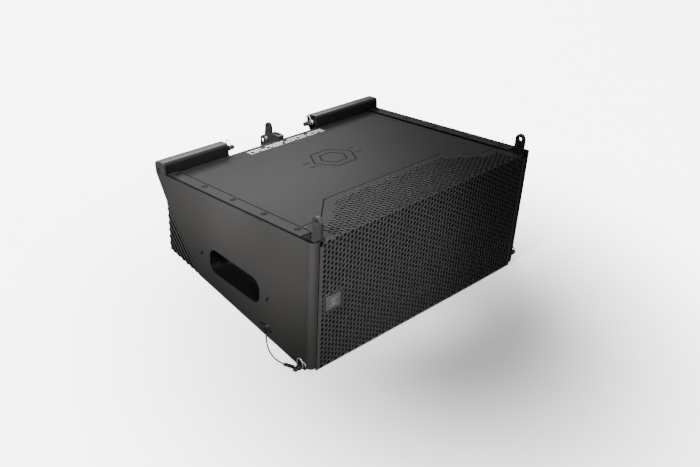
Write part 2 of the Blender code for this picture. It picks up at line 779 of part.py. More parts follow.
def rear_link(frames):
    """A fork on the rear panel, with a short link that swings back and down between its cheeks."""
    clear = LINK_THICK / 2 + 2 * RUNNING
    outer = clear + CHEEK
    root, tail = BACK + GAP, BACK + FORK_REACH
    crown = FORK_TOP - FORK_STEP
    outline = [(root, FORK_LOW), (tail - 0.018, FORK_LOW), (tail, FORK_LOW + 0.022)]
    outline += [(tail, crown - 0.019), (tail - 0.005, crown - 0.0147), (root + 0.0285, crown)]
    outline += [(root + 0.012, FORK_TOP), (root, FORK_TOP)]
    bracket = add("rear_bracket", prism(outline, -outer, outer), black_steel(), frames.front)
    slot_low, slot_high = FORK_LOW - OVERCUT, FORK_TOP + OVERCUT
    slot = block((-clear, root + FORK_WEB, slot_low), (clear, tail + OVERCUT, slot_high))
    boolean(bracket, slot, frames.front)
    depth, up = BACK + LINK_PIVOT_REACH, LINK_PIVOT_UP
    for place in ((tail - FORK_HOLE_IN, crown - FORK_HOLE_DOWN), (depth, up)):
        hole = turned(capsule_profile(PIN_SHAFT + RUNNING, -FAR, FAR), 16, "x")
        boolean(bracket, hole, frames.front, location=(0.0, *place))
    low_half, high_half = REAR_LINK_FOOT, REAR_LINK_TIP
    eye_up = REAR_LINK_RISE - high_half
    outline = arc((0.0, 0.0), low_half, 190, 350, 8)
    outline += arc((0.0, eye_up), high_half, 0, 180, 8)
    holder = frames.empty("rear_link_frame", frames.front, (0.0, depth, up))
    link = add("rear_link", prism(outline, -LINK_THICK / 2, LINK_THICK / 2), black_steel(), holder)
    for height, radius in ((0.0, PIN_SHAFT + RUNNING), (eye_up, LINK_HOLE)):
        eye = turned(capsule_profile(radius, -OVERCUT, OVERCUT), 16, "x")
        boolean(link, eye, holder, location=(0.0, 0.0, height))
    reach = outer + PIVOT_STAND
    pivot = turned(capsule_profile(PIN_SHAFT, -reach, reach), 16, "x")
    smooth(add("rear_link_pivot", pivot, bright_steel(), holder))


# ---------------------------------------------------------------- grille
def curve_point(start, corner, end, share):
    """A point of the quadratic curve that leaves start and reaches end, both towards the corner."""
    weights = ((1 - share) ** 2, 2 * share * (1 - share), share**2)
    return tuple(sum(w * p[k] for w, p in zip(weights, (start, corner, end))) for k in (0, 1))


def grille(frames):
    """One folded sheet: the front, a soft fold, and the flange on the top."""
    half = HALF - POST_WIDTH - GAP
    flange = BETWEEN_CHANNELS - GAP
    columns = [-half, -flange, -BAY_KNEE, -BAY_SHOULDER, BAY_SHOULDER, BAY_KNEE, flange, half]
    reach = [0.0, BAY_SIDE, BAY_SIDE, BAY_MIDDLE, BAY_MIDDLE, BAY_SIDE, BAY_SIDE, 0.0]
    foot = from_front(0.0, GRILLE_LIFT)
    start = from_front(0.0, FRONT_HEIGHT - FOLD_BACK)
    up, back = (math.sin(LEAN), math.cos(LEAN)), (math.cos(WEDGE), -math.sin(WEDGE))
    corner = meet(foot, up, from_top(0.0, -SKIN), back)
    length = math.dist(corner, start)
    end = (corner[0] + length * back[0], corner[1] + length * back[1])
    fold = [curve_point(start, corner, end, i / FOLD_STEPS) for i in range(FOLD_STEPS + 1)]

    def make(shape):
        rows = []
        for x, deep in zip(columns, reach):
            points = [foot, start]
            if deep:
                points = [foot, *fold, from_top(deep, -SKIN)]
            rows.append([shape.verts.new((x, y, z)) for y, z in points])
        for one, other in zip(rows, rows[1:]):
            for i in range(min(len(one), len(other)) - 1):
                shape.faces.new((one[i], other[i], other[i + 1], one[i + 1]))

    mesh = mesh_of("grille", make)
    outward = mesh.polygons[0].normal.y < 0
    obj = add("grille", mesh, texture_paint(), frames.world)
    sheet = obj.modifiers.new("thickness", "SOLIDIFY")
    sheet.thickness = SHEET
    sheet.offset = -1.0 if outward else 1.0
    sheet.use_even_offset = True


def grille_dressing(frames):
    low, high = PANEL_IN + FOAM_PLAY, FRONT_HEIGHT - PANEL_IN - FOAM_PLAY
    half = BETWEEN_CHANNELS - GAP
    start = SHEET + 3 * GAP
    add(
        "grille_foam",
        block((-half, start, low), (half, start + FOAM, high)),
        open_foam(),
        frames.front,
    )
    plate = prism(rounded(0.0345, 0.030, 0.0015, 2), -0.0018, -GAP, "y")
    add("front_badge", plate, black_plastic(), frames.front, (BADGE_IN - HALF, 0.0, BADGE_UP))


# ---------------------------------------------------------------- drivers
def baffle(frames):
    near = envelope(PANEL_IN, BAFFLE_FRONT, PANEL_IN, 0.0)
    far = envelope(PANEL_IN, BAFFLE_FRONT + BAFFLE_THICK, PANEL_IN, 0.0)
    board = add(
        "baffle",
        prism([near[0], near[1], far[1], far[0]], -INSIDE, INSIDE),
        birch_ply(),
        frames.world,
    )
    for _, sign in both_sides():
        cut = turned(capsule_profile(WOOFER_CUTOUT, 0.0, BAFFLE_FRONT + BAFFLE_THICK + OVERCUT), 32)
        boolean(board, cut, frames.front, location=(sign * WOOFER_X, 0.0, MIDDLE_UP))
    mouth = (HORN_HALF_WIDTH - HORN_LIP + GAP, HORN_HALF_HEIGHT - HORN_LIP + GAP)
    past = BAFFLE_FRONT + BAFFLE_THICK + OVERCUT
    opening = block((-mouth[0], 0.0, MIDDLE_UP - mouth[1]), (mouth[0], past, MIDDLE_UP + mouth[1]))
    boolean(board, opening, frames.front)


def woofer(side, sign, frames):
    """An eight-inch driver: frame, surround, moving cone with its coil, and magnet."""
    centre = (sign * WOOFER_X, BAFFLE_FRONT - GAP, MIDDLE_UP)
    holder = frames.empty(f"{side}_woofer_frame_axis", frames.front, centre)
    seat = WOOFER_CUTOUT - 0.001
    rim = CONE_RADIUS + 0.0135
    frame = [
        (WOOFER_FLANGE, -0.003),
        (WOOFER_FLANGE, 0.0),
        (seat, 0.0),
        (seat, 0.020),
        (0.046, 0.058),
        (0.046, 0.0625),
        (0.027, 0.0625),
        (0.027, 0.0595),
        (0.0435, 0.0565),
        (seat - 0.0025, 0.0185),
        (rim + 0.0006, -0.0008),
        (rim + 0.0006, -0.003),
    ]
    smooth(add(f"{side}_woofer_basket", turned(frame, 32), black_steel(), holder))
    half_roll = (rim - CONE_RADIUS - 0.0006) / 2
    middle = CONE_RADIUS + 0.0006 + half_roll
    roll = arc((middle, -0.0015), half_roll, 180, 0, 6)
    under = arc((middle, -0.0015), half_roll - 0.001, 0, 180, 6)
    surround = [(radius, -0.003 - (along + 0.0015)) for radius, along in roll + under]
    smooth(add(f"{side}_woofer_surround", turned(surround, 32), soft_rubber(), holder), 60)
    cone = [
        (0.0, 0.028),
        (0.012, 0.0295),
        (0.0205, 0.0335),
        (0.045, 0.017),
        (CONE_RADIUS, -0.0022),
        (CONE_RADIUS, -0.0008),
        (0.045, 0.0185),
        (0.0200, 0.0400),
        (0.0195, 0.0700),
        (0.0185, 0.0700),
        (0.0185, 0.0350),
        (0.011, 0.0310),
        (0.0, 0.0295),
    ]
    smooth(add(f"{side}_woofer_cone", turned(cone, 32), paper_black(), holder), 60)
    magnet = [
        (0.0, 0.0630),
        (0.0175, 0.0630),
        (0.0175, 0.0790),
        (0.0205, 0.0790),
        (0.0205, 0.0630),
        (0.046, 0.0630),
        (0.052, 0.0680),
        (0.052, 0.0900),
        (0.046, 0.0950),
        (0.0, 0.0950),
    ]
    smooth(add(f"{side}_woofer_magnet", turned(magnet, 24), magnet_grey(), holder))


def high_frequency(frames):
    start = BAFFLE_FRONT - HORN_FLANGE - GAP
    seat = BAFFLE_FRONT - GAP
    end = start + HORN_LENGTH
    neck = HORN_HALF_HEIGHT - 0.022
    outside = [
        (start, HORN_HALF_WIDTH, HORN_HALF_HEIGHT),
        (seat, HORN_HALF_WIDTH, HORN_HALF_HEIGHT),
        (seat, HORN_HALF_WIDTH - HORN_LIP, HORN_HALF_HEIGHT - HORN_LIP),
        (start + 0.045, 0.024, neck),
        (start + 0.085, 0.015, 0.050),
        (end - 0.010, 0.020, 0.022),
        (end, 0.030, 0.030),
    ]
    inside = [
        (start, HORN_HALF_WIDTH - HORN_LIP - HORN_WALL, HORN_HALF_HEIGHT - HORN_LIP - HORN_WALL),
        (start + 0.045, 0.024 - HORN_WALL * 2, neck - HORN_WALL * 2),
        (start + 0.085, 0.015 - HORN_WALL * 2, 0.050 - HORN_WALL * 2),
        (end - 0.010, 0.010, 0.0125),
        (end, 0.0110, 0.0125),
    ]
    place = (0.0, 0.0, MIDDLE_UP)
    add("waveguide", duct(outside, inside), black_plastic(), frames.front, place)
    face = end + GAP
    driver = [
        (0.0, face + 0.012),
        (0.012, face + 0.012),
        (0.012, face),
        (0.030, face),
        (0.030, face + 0.006),
        (0.044, face + 0.012),
        (0.046, face + 0.016),
        (0.046, face + 0.044),
        (0.042, face + 0.050),
        (0.0, face + 0.050),
    ]
    smooth(add("compression_driver", turned(driver, 24), magnet_grey(), frames.front, place))


# ---------------------------------------------------------------- inside and rear electrics
def electrics(frames):
    near = envelope(PANEL_IN, BRACE_PLACE, PANEL_IN, 0.0)
    far = envelope(PANEL_IN, BRACE_PLACE + BRACE_THICK, PANEL_IN, 0.0)
    outline = [near[0], near[1], far[1], far[0]]
    brace = add("window_brace", prism(outline, -INSIDE, INSIDE), birch_ply(), frames.world)
    wide, tall = INSIDE - WINDOW_IN, WINDOW_HALF_HEIGHT
    near_end, far_end = BRACE_PLACE - 2 * OVERCUT, BRACE_PLACE + 4 * OVERCUT
    window = block((-wide, near_end, MIDDLE_UP - tall), (wide, far_end, MIDDLE_UP + tall))
    boolean(brace, window, frames.front)
    face = BACK + PLATE_FACE
    outline = moved(rounded(*PLATE_SIZE, 0.006, 3), 0.0, SOCKET_UP)
    plate = add("input_plate", prism(outline, BACK + GAP, face - GAP, "y"), black_steel(), frames.front)
    deep = face - SOCKET_DEEP
    socket = [
        (0.0, deep - SOCKET_FLOOR),
        (SOCKET_BODY, deep - SOCKET_FLOOR),
        (SOCKET_BODY, face),
        (SOCKET_FLANGE, face),
        (SOCKET_FLANGE, face + SOCKET_RIM),
        (SOCKET_BORE, face + SOCKET_RIM),
        (SOCKET_BORE, deep),
        (0.0, deep),
    ]
    for x, use in zip(SOCKET_PLACES, ("in", "link")):
        place = (x, 0.0, SOCKET_UP)
        hole = turned(capsule_profile(SOCKET_BODY + GAP, BACK - OVERCUT, BACK + OVERCUT), 20)
        boolean(plate, hole, frames.front, location=place)
        made = add(f"speaker_socket_{use}", turned(socket, 20), black_plastic(), frames.front, place)
        smooth(made)
    front, rear = DEPTH - BOARD_AWAY - BOARD_DEPTH, DEPTH - BOARD_AWAY
    top = PANEL_IN + BOARD_THICK
    board = block((-BOARD_WIDTH, front, PANEL_IN), (0.0, rear, top))
    add("crossover_board", board, board_green(), frames.world)
    low, high = top + GAP, top + GAP + COIL_HEIGHT
    coil = turned([(COIL_BORE, low), (COIL_RADIUS, low), (COIL_RADIUS, high), (COIL_BORE, high)], 20, "z")
    place = (-BOARD_WIDTH + COIL_RADIUS + COIL_BORE, (front + rear) / 2, 0.0)
    smooth(add("crossover_coil", coil, copper(), frames.world, place))


# ---------------------------------------------------------------- lanyard
def smooth_route(points, spacing):
    """Even points along a Catmull-Rom curve through the route's own points."""
    ends = [points[0] * 2 - points[1], *points, points[-1] * 2 - points[-2]]
    dense = []
    for p0, p1, p2, p3 in zip(ends, ends[1:], ends[2:], ends[3:]):
        for i in range(40):
            t = i / 40
            dense.append(
                0.5
                * (
                    2 * p1
                    + (p2 - p0) * t
                    + (2 * p0 - 5 * p1 + 4 * p2 - p3) * t**2
                    + (3 * p1 - p0 - 3 * p2 + p3) * t**3
                )
            )
    dense.append(points[-1])
    total = sum((b - a).length for a, b in zip(dense, dense[1:]))
    count = max(2, round(total / spacing))
    picked, travelled, target = [dense[0]], 0.0, total / count
    for a, b in zip(dense, dense[1:]):
        step = (b - a).length
        while travelled + step >= target - 1e-9 and len(picked) < count:
            picked.append(a.lerp(b, (target - travelled) / step))
            target += total / count
        travelled += step
    return picked + [dense[-1]]


LANYARD_ROUTE = (  # out from the side cover, behind the grille's foot, above the floor
    (0.0024, 0.1200, 0.0152),
    (0.0024, 0.1198, 0.0110),
    (0.0033, 0.1175, 0.0070),
    (0.0058, 0.1133, 0.0040),
    (0.0090, 0.1086, 0.0022),
    (0.0142, 0.0993, 0.0013),
    (0.0190, 0.0889, 0.0013),
    (0.0225, 0.0759, 0.0013),
    (0.0237, 0.0645, 0.0013),
    (0.0224, 0.0548, 0.0016),
    (0.0205, 0.0449, 0.0030),
)
FERRULE_END = (0.0134, 0.0278, 0.0055)


def lanyard(frames):
    """A coated wire from a tab on the side cover to a ferrule and an eye round the front pin's neck."""
    *points, end = [Vector((-HALF - out, y, z)) for out, y, z in (*LANYARD_ROUTE, FERRULE_END)]
    route = smooth_route(points, WIRE_SPACING * LANYARD_WIRE)
    wire("lanyard", route, LANYARD_WIRE, soft_rubber(), frames.world)
    start = route[-1]
    along = (end - start).normalized()
    first, length = start + along * GAP, (end - start).length
    section = rounded(FERRULE_WIDTH, FERRULE_HEIGHT, FERRULE_HEIGHT * 0.48, 4)
    sleeve = prism(section, -FERRULE_WIDTH, length, "y")
    ferrule = add("lanyard_ferrule", sleeve, bright_steel(), frames.world, first)
    ferrule.rotation_mode = "QUATERNION"
    ferrule.rotation_quaternion = along.to_track_quat("Y", "Z")
    smooth(ferrule)
    # The ferrule's end is square to Y, so that it slides past the wire when the pin is pulled.
    tangent = (route[-1] - route[-2]).normalized()
    dip = LANYARD_WIRE * math.sqrt(1 - tangent.y**2)
    near = (-WIDTH, start.y - dip - GAP, -FAR)
    boolean(ferrule, block(near, (0.0, start.y + FAR, FAR)), frames.world)
    tail = first + along * (length + LANYARD_WIRE)
    y, z = from_front(FRONT_PIN_DEPTH, FRONT_PIN_UP)
    neck = Vector((-HALF - NECK_OUT, y, z))
    radius = PIN_SHAFT + LANYARD_WIRE + EYE_PLAY
    away = Vector((0.0, tail.y - neck.y, tail.z - neck.z))
    base = math.atan2(away.z, away.y)
    eye = [tail]
    for i in range(EYE_STEPS + 1):
        angle = base + EYE_OPENING / 2 + (2 * math.pi - EYE_OPENING) * i / EYE_STEPS
        eye.append(neck + Vector((0.0, radius * math.cos(angle), radius * math.sin(angle))))
    wire("lanyard_eye", eye, EYE_WIRE, soft_rubber(), frames.world, resolution=1)
    outline = moved(rounded(TAB_WIDE, TAB_LONG, 0.005, 3), *TAB_PLACE)
    tab = prism(outline, -HALF - TAB_THICK - GAP, -HALF - GAP)
    add("lanyard_tab", tab, black_steel(), frames.world)


# ---------------------------------------------------------------- assembly
def centre_on_origin(frames):
    """Moves the whole object so that the origin is at the bottom centre of all but the lanyard."""
    bpy.context.view_layer.update()
    graph = bpy.context.evaluated_depsgraph_get()
    low, high = Vector((1e9,) * 3), Vector((-1e9,) * 3)
    for obj in bpy.context.scene.objects:
        if obj.type == "EMPTY" or obj.hide_render or obj.name.startswith("lanyard"):
            continue
        evaluated = obj.evaluated_get(graph)
        for vertex in evaluated.to_mesh().vertices:
            place = evaluated.matrix_world @ vertex.co
            low = Vector(map(min, low, place))
            high = Vector(map(max, high, place))
        evaluated.to_mesh_clear()
    frames.world.location = (-(low.x + high.x) / 2, -(low.y + high.y) / 2, -low.z)
    bpy.context.view_layer.update()


def main():
    clear_scene()
    frames = Frames()
    cabinet(frames)
    covers(frames)
    rails(frames)
    front_rigging(frames)
    pins(frames)
    rear_bars(frames)
    rear_link(frames)
    grille(frames)
    grille_dressing(frames)
    baffle(frames)
    for side, sign in both_sides():
        woofer(side, sign, frames)
    high_frequency(frames)
    electrics(frames)
    lanyard(frames)
    centre_on_origin(frames)


main()
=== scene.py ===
"""Looks of the line array loudspeaker: shells, perforated grille, rigging, lanyard, finishes and studio.

The classes below build one sub-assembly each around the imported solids. Sizes are in metres and angles
in radians unless a name says otherwise.
"""

import json
import logging
import math
from dataclasses import dataclass
from enum import Enum
from typing import Callable, Iterable, Optional, Sequence

import bmesh
import bpy
from mathutils import Matrix, Vector

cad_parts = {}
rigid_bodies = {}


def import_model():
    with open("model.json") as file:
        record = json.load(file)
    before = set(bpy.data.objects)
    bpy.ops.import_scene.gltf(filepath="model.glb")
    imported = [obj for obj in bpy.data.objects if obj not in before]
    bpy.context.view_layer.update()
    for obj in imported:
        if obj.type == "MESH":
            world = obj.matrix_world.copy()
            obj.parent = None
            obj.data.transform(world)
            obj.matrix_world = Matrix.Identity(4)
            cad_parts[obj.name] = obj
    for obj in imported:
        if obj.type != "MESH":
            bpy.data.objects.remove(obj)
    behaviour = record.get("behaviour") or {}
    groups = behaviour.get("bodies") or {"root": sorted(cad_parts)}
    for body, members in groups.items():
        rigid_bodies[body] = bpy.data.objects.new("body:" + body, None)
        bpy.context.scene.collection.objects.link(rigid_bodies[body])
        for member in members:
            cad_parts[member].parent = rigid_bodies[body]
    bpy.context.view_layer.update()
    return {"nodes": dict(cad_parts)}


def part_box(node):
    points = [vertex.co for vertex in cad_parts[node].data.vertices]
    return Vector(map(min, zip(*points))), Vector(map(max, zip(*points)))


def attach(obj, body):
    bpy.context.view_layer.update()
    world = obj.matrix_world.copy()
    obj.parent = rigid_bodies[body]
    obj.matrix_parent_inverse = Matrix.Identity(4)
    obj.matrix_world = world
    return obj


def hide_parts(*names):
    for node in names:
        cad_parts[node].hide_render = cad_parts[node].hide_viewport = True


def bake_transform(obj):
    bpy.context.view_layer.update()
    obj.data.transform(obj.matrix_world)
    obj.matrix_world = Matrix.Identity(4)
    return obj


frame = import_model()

LOG = logging.getLogger("loudspeaker")
Point2 = tuple[float, float]
Outline = list[Point2]

FINE = 0.0003  # the gap that touching pieces keep
MERGE = 2e-6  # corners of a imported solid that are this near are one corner
OVERCUT = 0.01  # how far a cutter reaches past what it cuts
UP = Vector((0.0, 0.0, 1.0))


class Side(Enum):
    """The two sides of the cabinet, as someone who faces the grille names them."""

    LEFT = -1
    RIGHT = 1

    @property
    def word(self) -> str:
        """The side's name as the nodes spell it."""
        return self.name.lower()


# ------------------------------------------------------------------ the cabinet's own frames
@dataclass(frozen=True)
class Cabinet:
    """Overall sizes of the wedge cabinet, and the local frames that its pieces are laid out in.

    The front frame holds (x, depth behind the grille's plane, height up the grille). The top frame
    holds (x, distance back along the top, height above the top). The side frame holds (x, distance
    behind the grille's foot, height above the floor).
    """

    foot: float
    width: float = 0.572
    front_height: float = 0.2653
    depth: float = 0.434
    wedge: float = math.radians(13.0)
    skin: float = 0.0025
    cover: float = 0.0035

    @property
    def half(self) -> float:
        """Half the width over the side covers."""
        return self.width / 2

    @property
    def lean(self) -> float:
        """How far the grille leans back."""
        return self.wedge / 2

    @property
    def back(self) -> float:
        """Distance of the rear plane behind the grille's plane."""
        return self.depth * math.cos(self.lean)

    def side_frame(self) -> Matrix:
        """Matrix of the side frame."""
        return Matrix.Translation((0.0, self.foot, 0.0))

    def front_frame(self) -> Matrix:
        """Matrix of the front frame."""
        return self.side_frame() @ Matrix.Rotation(-self.lean, 4, "X")

    def top_frame(self) -> Matrix:
        """Matrix of the top frame, whose origin is the fold above the front.

        Returns:
            The matrix.
        """
        fold = self.front_frame() @ Vector((0.0, 0.0, self.front_height))
        return Matrix.Translation(fold) @ Matrix.Rotation(-self.wedge, 4, "X")


# ------------------------------------------------------------------ mesh making
PLACES: dict[str, Callable[[float, float, float], tuple[float, float, float]]] = {
    "x": lambda u, v, along: (along, u, v),
    "y": lambda u, v, along: (u, along, v),
    "z": lambda u, v, along: (u, v, along),
}


def mesh_from(name: str, maker: Callable[[bmesh.types.BMesh], None]) -> bpy.types.Mesh:
    """Runs a maker on an empty bmesh and returns the mesh with its faces turned outwards.

    Args:
        name: Name of the mesh.
        maker: Fills the bmesh.

    Returns:
        The new mesh.
    """
    shape = bmesh.new()
    maker(shape)
    bmesh.ops.remove_doubles(shape, verts=shape.verts, dist=1e-7)
    bmesh.ops.recalc_face_normals(shape, faces=shape.faces)
    mesh = bpy.data.meshes.new(name)
    shape.to_mesh(mesh)
    shape.free()
    return mesh


def put(name: str, mesh: bpy.types.Mesh, matrix: Matrix = Matrix.Identity(4)) -> bpy.types.Object:
    """Links a mesh as an object at the origin, with its place moved into the mesh.

    Args:
        name: Name of the piece.
        mesh: The mesh, in a local frame.
        matrix: The local frame.

    Returns:
        The new object.
    """
    mesh.transform(matrix)
    made = bpy.data.objects.new(name, mesh)
    bpy.context.scene.collection.objects.link(made)
    return made


def arc(centre: Point2, radius: float, start: float, end: float, steps: int) -> Outline:
    """Points along an arc.

    Args:
        centre: Centre of the arc.
        radius: Its radius.
        start: First angle, in degrees.
        end: Last angle, in degrees.
        steps: Number of chords.

    Returns:
        The points, both ends included.
    """
    angles = [math.radians(start + (end - start) * i / steps) for i in range(steps + 1)]
    return [(centre[0] + radius * math.cos(a), centre[1] + radius * math.sin(a)) for a in angles]


def rounded(width: float, height: float, radius: float, steps: int = 8) -> Outline:
    """Outline of a rounded rectangle about (0, 0).

    Args:
        width: Its width.
        height: Its height.
        radius: Radius of its corners.
        steps: Chords in each corner.

    Returns:
        The outline, anticlockwise.
    """
    u, v = width / 2 - radius, height / 2 - radius
    corners = ((u, v, 0), (-u, v, 90), (-u, -v, 180), (u, -v, 270))
    points: Outline = []
    for cu, cv, start in corners:
        points += arc((cu, cv), radius, start, start + 90, steps)
    return points


def moved(outline: Outline, u: float, v: float) -> Outline:
    """The outline moved by (u, v)."""
    return [(a + u, b + v) for a, b in outline]


def disc(radius: float, steps: int = 24, u: float = 0.0, v: float = 0.0) -> Outline:
    """Outline of a circle."""
    return moved(arc((0.0, 0.0), radius, 0, 360 * (steps - 1) / steps, steps - 1), u, v)


def slab(
    outline: Outline, low: float, high: float, axis: str, holes: Iterable[Outline] = ()
) -> bpy.types.Mesh:
    """A flat plate with holes.

    Args:
        outline: The plate's outline, in the two axes other than its thickness, in order.
        low: Where the plate starts along its thickness.
        high: Where it ends.
        axis: Name of the axis of its thickness.
        holes: Outlines of the holes.

    Returns:
        The plate as a mesh.
    """
    place = PLACES[axis]

    def make(shape: bmesh.types.BMesh) -> None:
        """Fills the bmesh.

        Args:
            shape: The empty bmesh.
        """
        loops = []
        for points in (outline, *holes):
            verts = [shape.verts.new(place(u, v, low)) for u, v in points]
            loops += [shape.edges.new((a, b)) for a, b in zip(verts, verts[1:] + verts[:1])]
        bmesh.ops.triangle_fill(shape, use_beauty=True, use_dissolve=False, edges=loops)
        bmesh.ops.dissolve_limit(shape, angle_limit=0.01, verts=shape.verts, edges=shape.edges)
        pushed = bmesh.ops.extrude_face_region(shape, geom=list(shape.faces))
        top = [part for part in pushed["geom"] if isinstance(part, bmesh.types.BMVert)]
        bmesh.ops.translate(shape, verts=top, vec=place(0.0, 0.0, high - low))

    return mesh_from("slab", make)


def turned(profile: Sequence[Point2], segments: int = 48, axis: str = "y") -> bpy.types.Mesh:
    """A turned solid.

    Args:
        profile: Points (radius, along). It closes on the axis or on itself.
        segments: Number of sides.
        axis: The axis that it turns about.

    Returns:
        The solid as a mesh.
    """
    place = PLACES[axis]
    solid = profile[0][0] == 0.0 and profile[-1][0] == 0.0

    def make(shape: bmesh.types.BMesh) -> None:
        """Fills the bmesh.

        Args:
            shape: The empty bmesh.
        """
        rings = []
        for radius, along in profile:
            count = segments if radius else 1
            turns = [2 * math.pi * i / segments for i in range(count)]
            rings.append(
                [shape.verts.new(place(radius * math.cos(t), radius * math.sin(t), along)) for t in turns]
            )
        pairs = list(zip(rings, rings[1:]))
        if not solid:
            pairs.append((rings[-1], rings[0]))
        for one, other in pairs:
            for i in range(segments):
                j = (i + 1) % segments
                corners = [ring[k % len(ring)] for ring, k in ((one, i), (one, j), (other, j), (other, i))]
                shape.faces.new(list(dict.fromkeys(corners)))

    return mesh_from("turned", make)


def lofted(loops: Sequence[Sequence[Vector]], closed_ends: bool = True) -> bpy.types.Mesh:
    """A skin through loops of equally many points, with both ends closed by a face.

    Args:
        loops: The loops, in order.
        closed_ends: Whether a face closes each end.

    Returns:
        The skin as a mesh.
    """

    def make(shape: bmesh.types.BMesh) -> None:
        """Fills the bmesh.

        Args:
            shape: The empty bmesh.
        """
        rings = [[shape.verts.new(point) for point in loop] for loop in loops]
        for one, other in zip(rings, rings[1:]):
            for i in range(len(one)):
                j = (i + 1) % len(one)
                shape.faces.new((one[i], one[j], other[j], other[i]))
        if closed_ends:
            shape.faces.new(rings[0])
            shape.faces.new(rings[-1])

    return mesh_from("lofted", make)


def tube(points: Sequence[Vector], radius: float, sides: int = 12, closed: bool = False) -> bpy.types.Mesh:
    """A round wire along points, with its section carried along without twist.

    Args:
        points: The centre line.
        radius: Radius of the wire.
        sides: Sides of its section.
        closed: Whether the line joins its own start.

    Returns:
        The wire as a mesh.
    """
    count = len(points)
    tangents = []
    for i in range(count):
        before = points[(i - 1) % count] if closed or i else points[0]
        after = points[(i + 1) % count] if closed or i < count - 1 else points[-1]
        tangents.append((after - before).normalized())
    normal = tangents[0].orthogonal().normalized()
    loops = []
    for point, tangent in zip(points, tangents):
        normal = (normal - tangent * normal.dot(tangent)).normalized()
        other = tangent.cross(normal)
        turns = [2 * math.pi * i / sides for i in range(sides)]
        loops.append([point + (normal * math.cos(t) + other * math.sin(t)) * radius for t in turns])
    if closed:
        loops.append(loops[0])
    return lofted(loops, closed_ends=not closed)


def modified(piece: bpy.types.Object) -> bpy.types.Object:
    """Turns a piece's modifiers into plain mesh.

    Args:
        piece: The piece.

    Returns:
        The same piece, without modifiers.
    """
    bpy.context.view_layer.update()
    graph = bpy.context.evaluated_depsgraph_get()
    mesh = bpy.data.meshes.new_from_object(piece.evaluated_get(graph), depsgraph=graph)
    piece.modifiers.clear()
    piece.data = mesh
    return piece


def soften(
    piece: bpy.types.Object, width: float, segments: int = 2, angle: float = 28.0
) -> bpy.types.Object:
    """Rounds the sharp edges of a piece and shades it smooth.

    Args:
        piece: The piece.
        width: Width of the rounding.
        segments: Steps across it.
        angle: Smallest angle between two faces that counts as an edge, in degrees.

    Returns:
        The same piece.
    """
    bevel = piece.modifiers.new("edge", "BEVEL")
    bevel.width = width
    bevel.segments = segments
    bevel.limit_method = "ANGLE"
    bevel.angle_limit = math.radians(angle)
    bevel.miter_outer = "MITER_ARC"
    bevel.use_clamp_overlap = True
    even = piece.modifiers.new("even", "WEIGHTED_NORMAL")
    even.mode = "FACE_AREA"
    even.weight = 100
    even.keep_sharp = True
    piece.data.shade_smooth()
    return modified(piece)


def smooth(piece: bpy.types.Object, angle: float = 35.0) -> bpy.types.Object:
    """Shades a piece smooth, with edges above an angle kept sharp.

    Args:
        piece: The piece.
        angle: The angle, in degrees.

    Returns:
        The same piece.
    """
    piece.data.shade_smooth()
    piece.data.set_sharp_from_angle(angle=math.radians(angle))
    return piece


def carve(
    piece: bpy.types.Object, mesh: bpy.types.Mesh, matrix: Matrix, keep: bool = False
) -> bpy.types.Object:
    """Cuts a mesh out of a piece, or keeps only what is inside the mesh.

    Args:
        piece: The piece.
        mesh: The cutting mesh, in a local frame.
        matrix: The local frame.
        keep: Whether the inside is kept.

    Returns:
        The same piece.
    """
    cutter = put(f"{piece.name}_cutter", mesh, matrix)
    cut = piece.modifiers.new("cut", "BOOLEAN")
    cut.operation = "INTERSECT" if keep else "DIFFERENCE"
    cut.solver = "EXACT"
    cut.object = cutter
    modified(piece)
    bpy.data.objects.remove(cutter, do_unlink=True)
    return piece


def copy_of_node(node: str) -> bpy.types.Object:
    """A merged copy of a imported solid, as a new piece in the same place.

    Args:
        node: The solid's node.

    Returns:
        The new piece.
    """
    shape = bmesh.new()
    shape.from_mesh(frame["nodes"][node].data)
    bmesh.ops.remove_doubles(shape, verts=shape.verts, dist=MERGE)
    bmesh.ops.dissolve_limit(shape, angle_limit=math.radians(0.6), verts=shape.verts, edges=shape.edges)
    mesh = bpy.data.meshes.new(node)
    shape.to_mesh(mesh)
    shape.free()
    return put(f"{node}_skin", mesh)


def joined(meshes: Iterable[tuple[bpy.types.Mesh, Matrix]]) -> bpy.types.Mesh:
    """One mesh from several, each moved by its own matrix.

    Args:
        meshes: The meshes with their matrices.

    Returns:
        The joined mesh.
    """
    shape = bmesh.new()
    for mesh, matrix in meshes:
        mesh.transform(matrix)
        shape.from_mesh(mesh)
    made = bpy.data.meshes.new("joined")
    shape.to_mesh(made)
    shape.free()
    return made


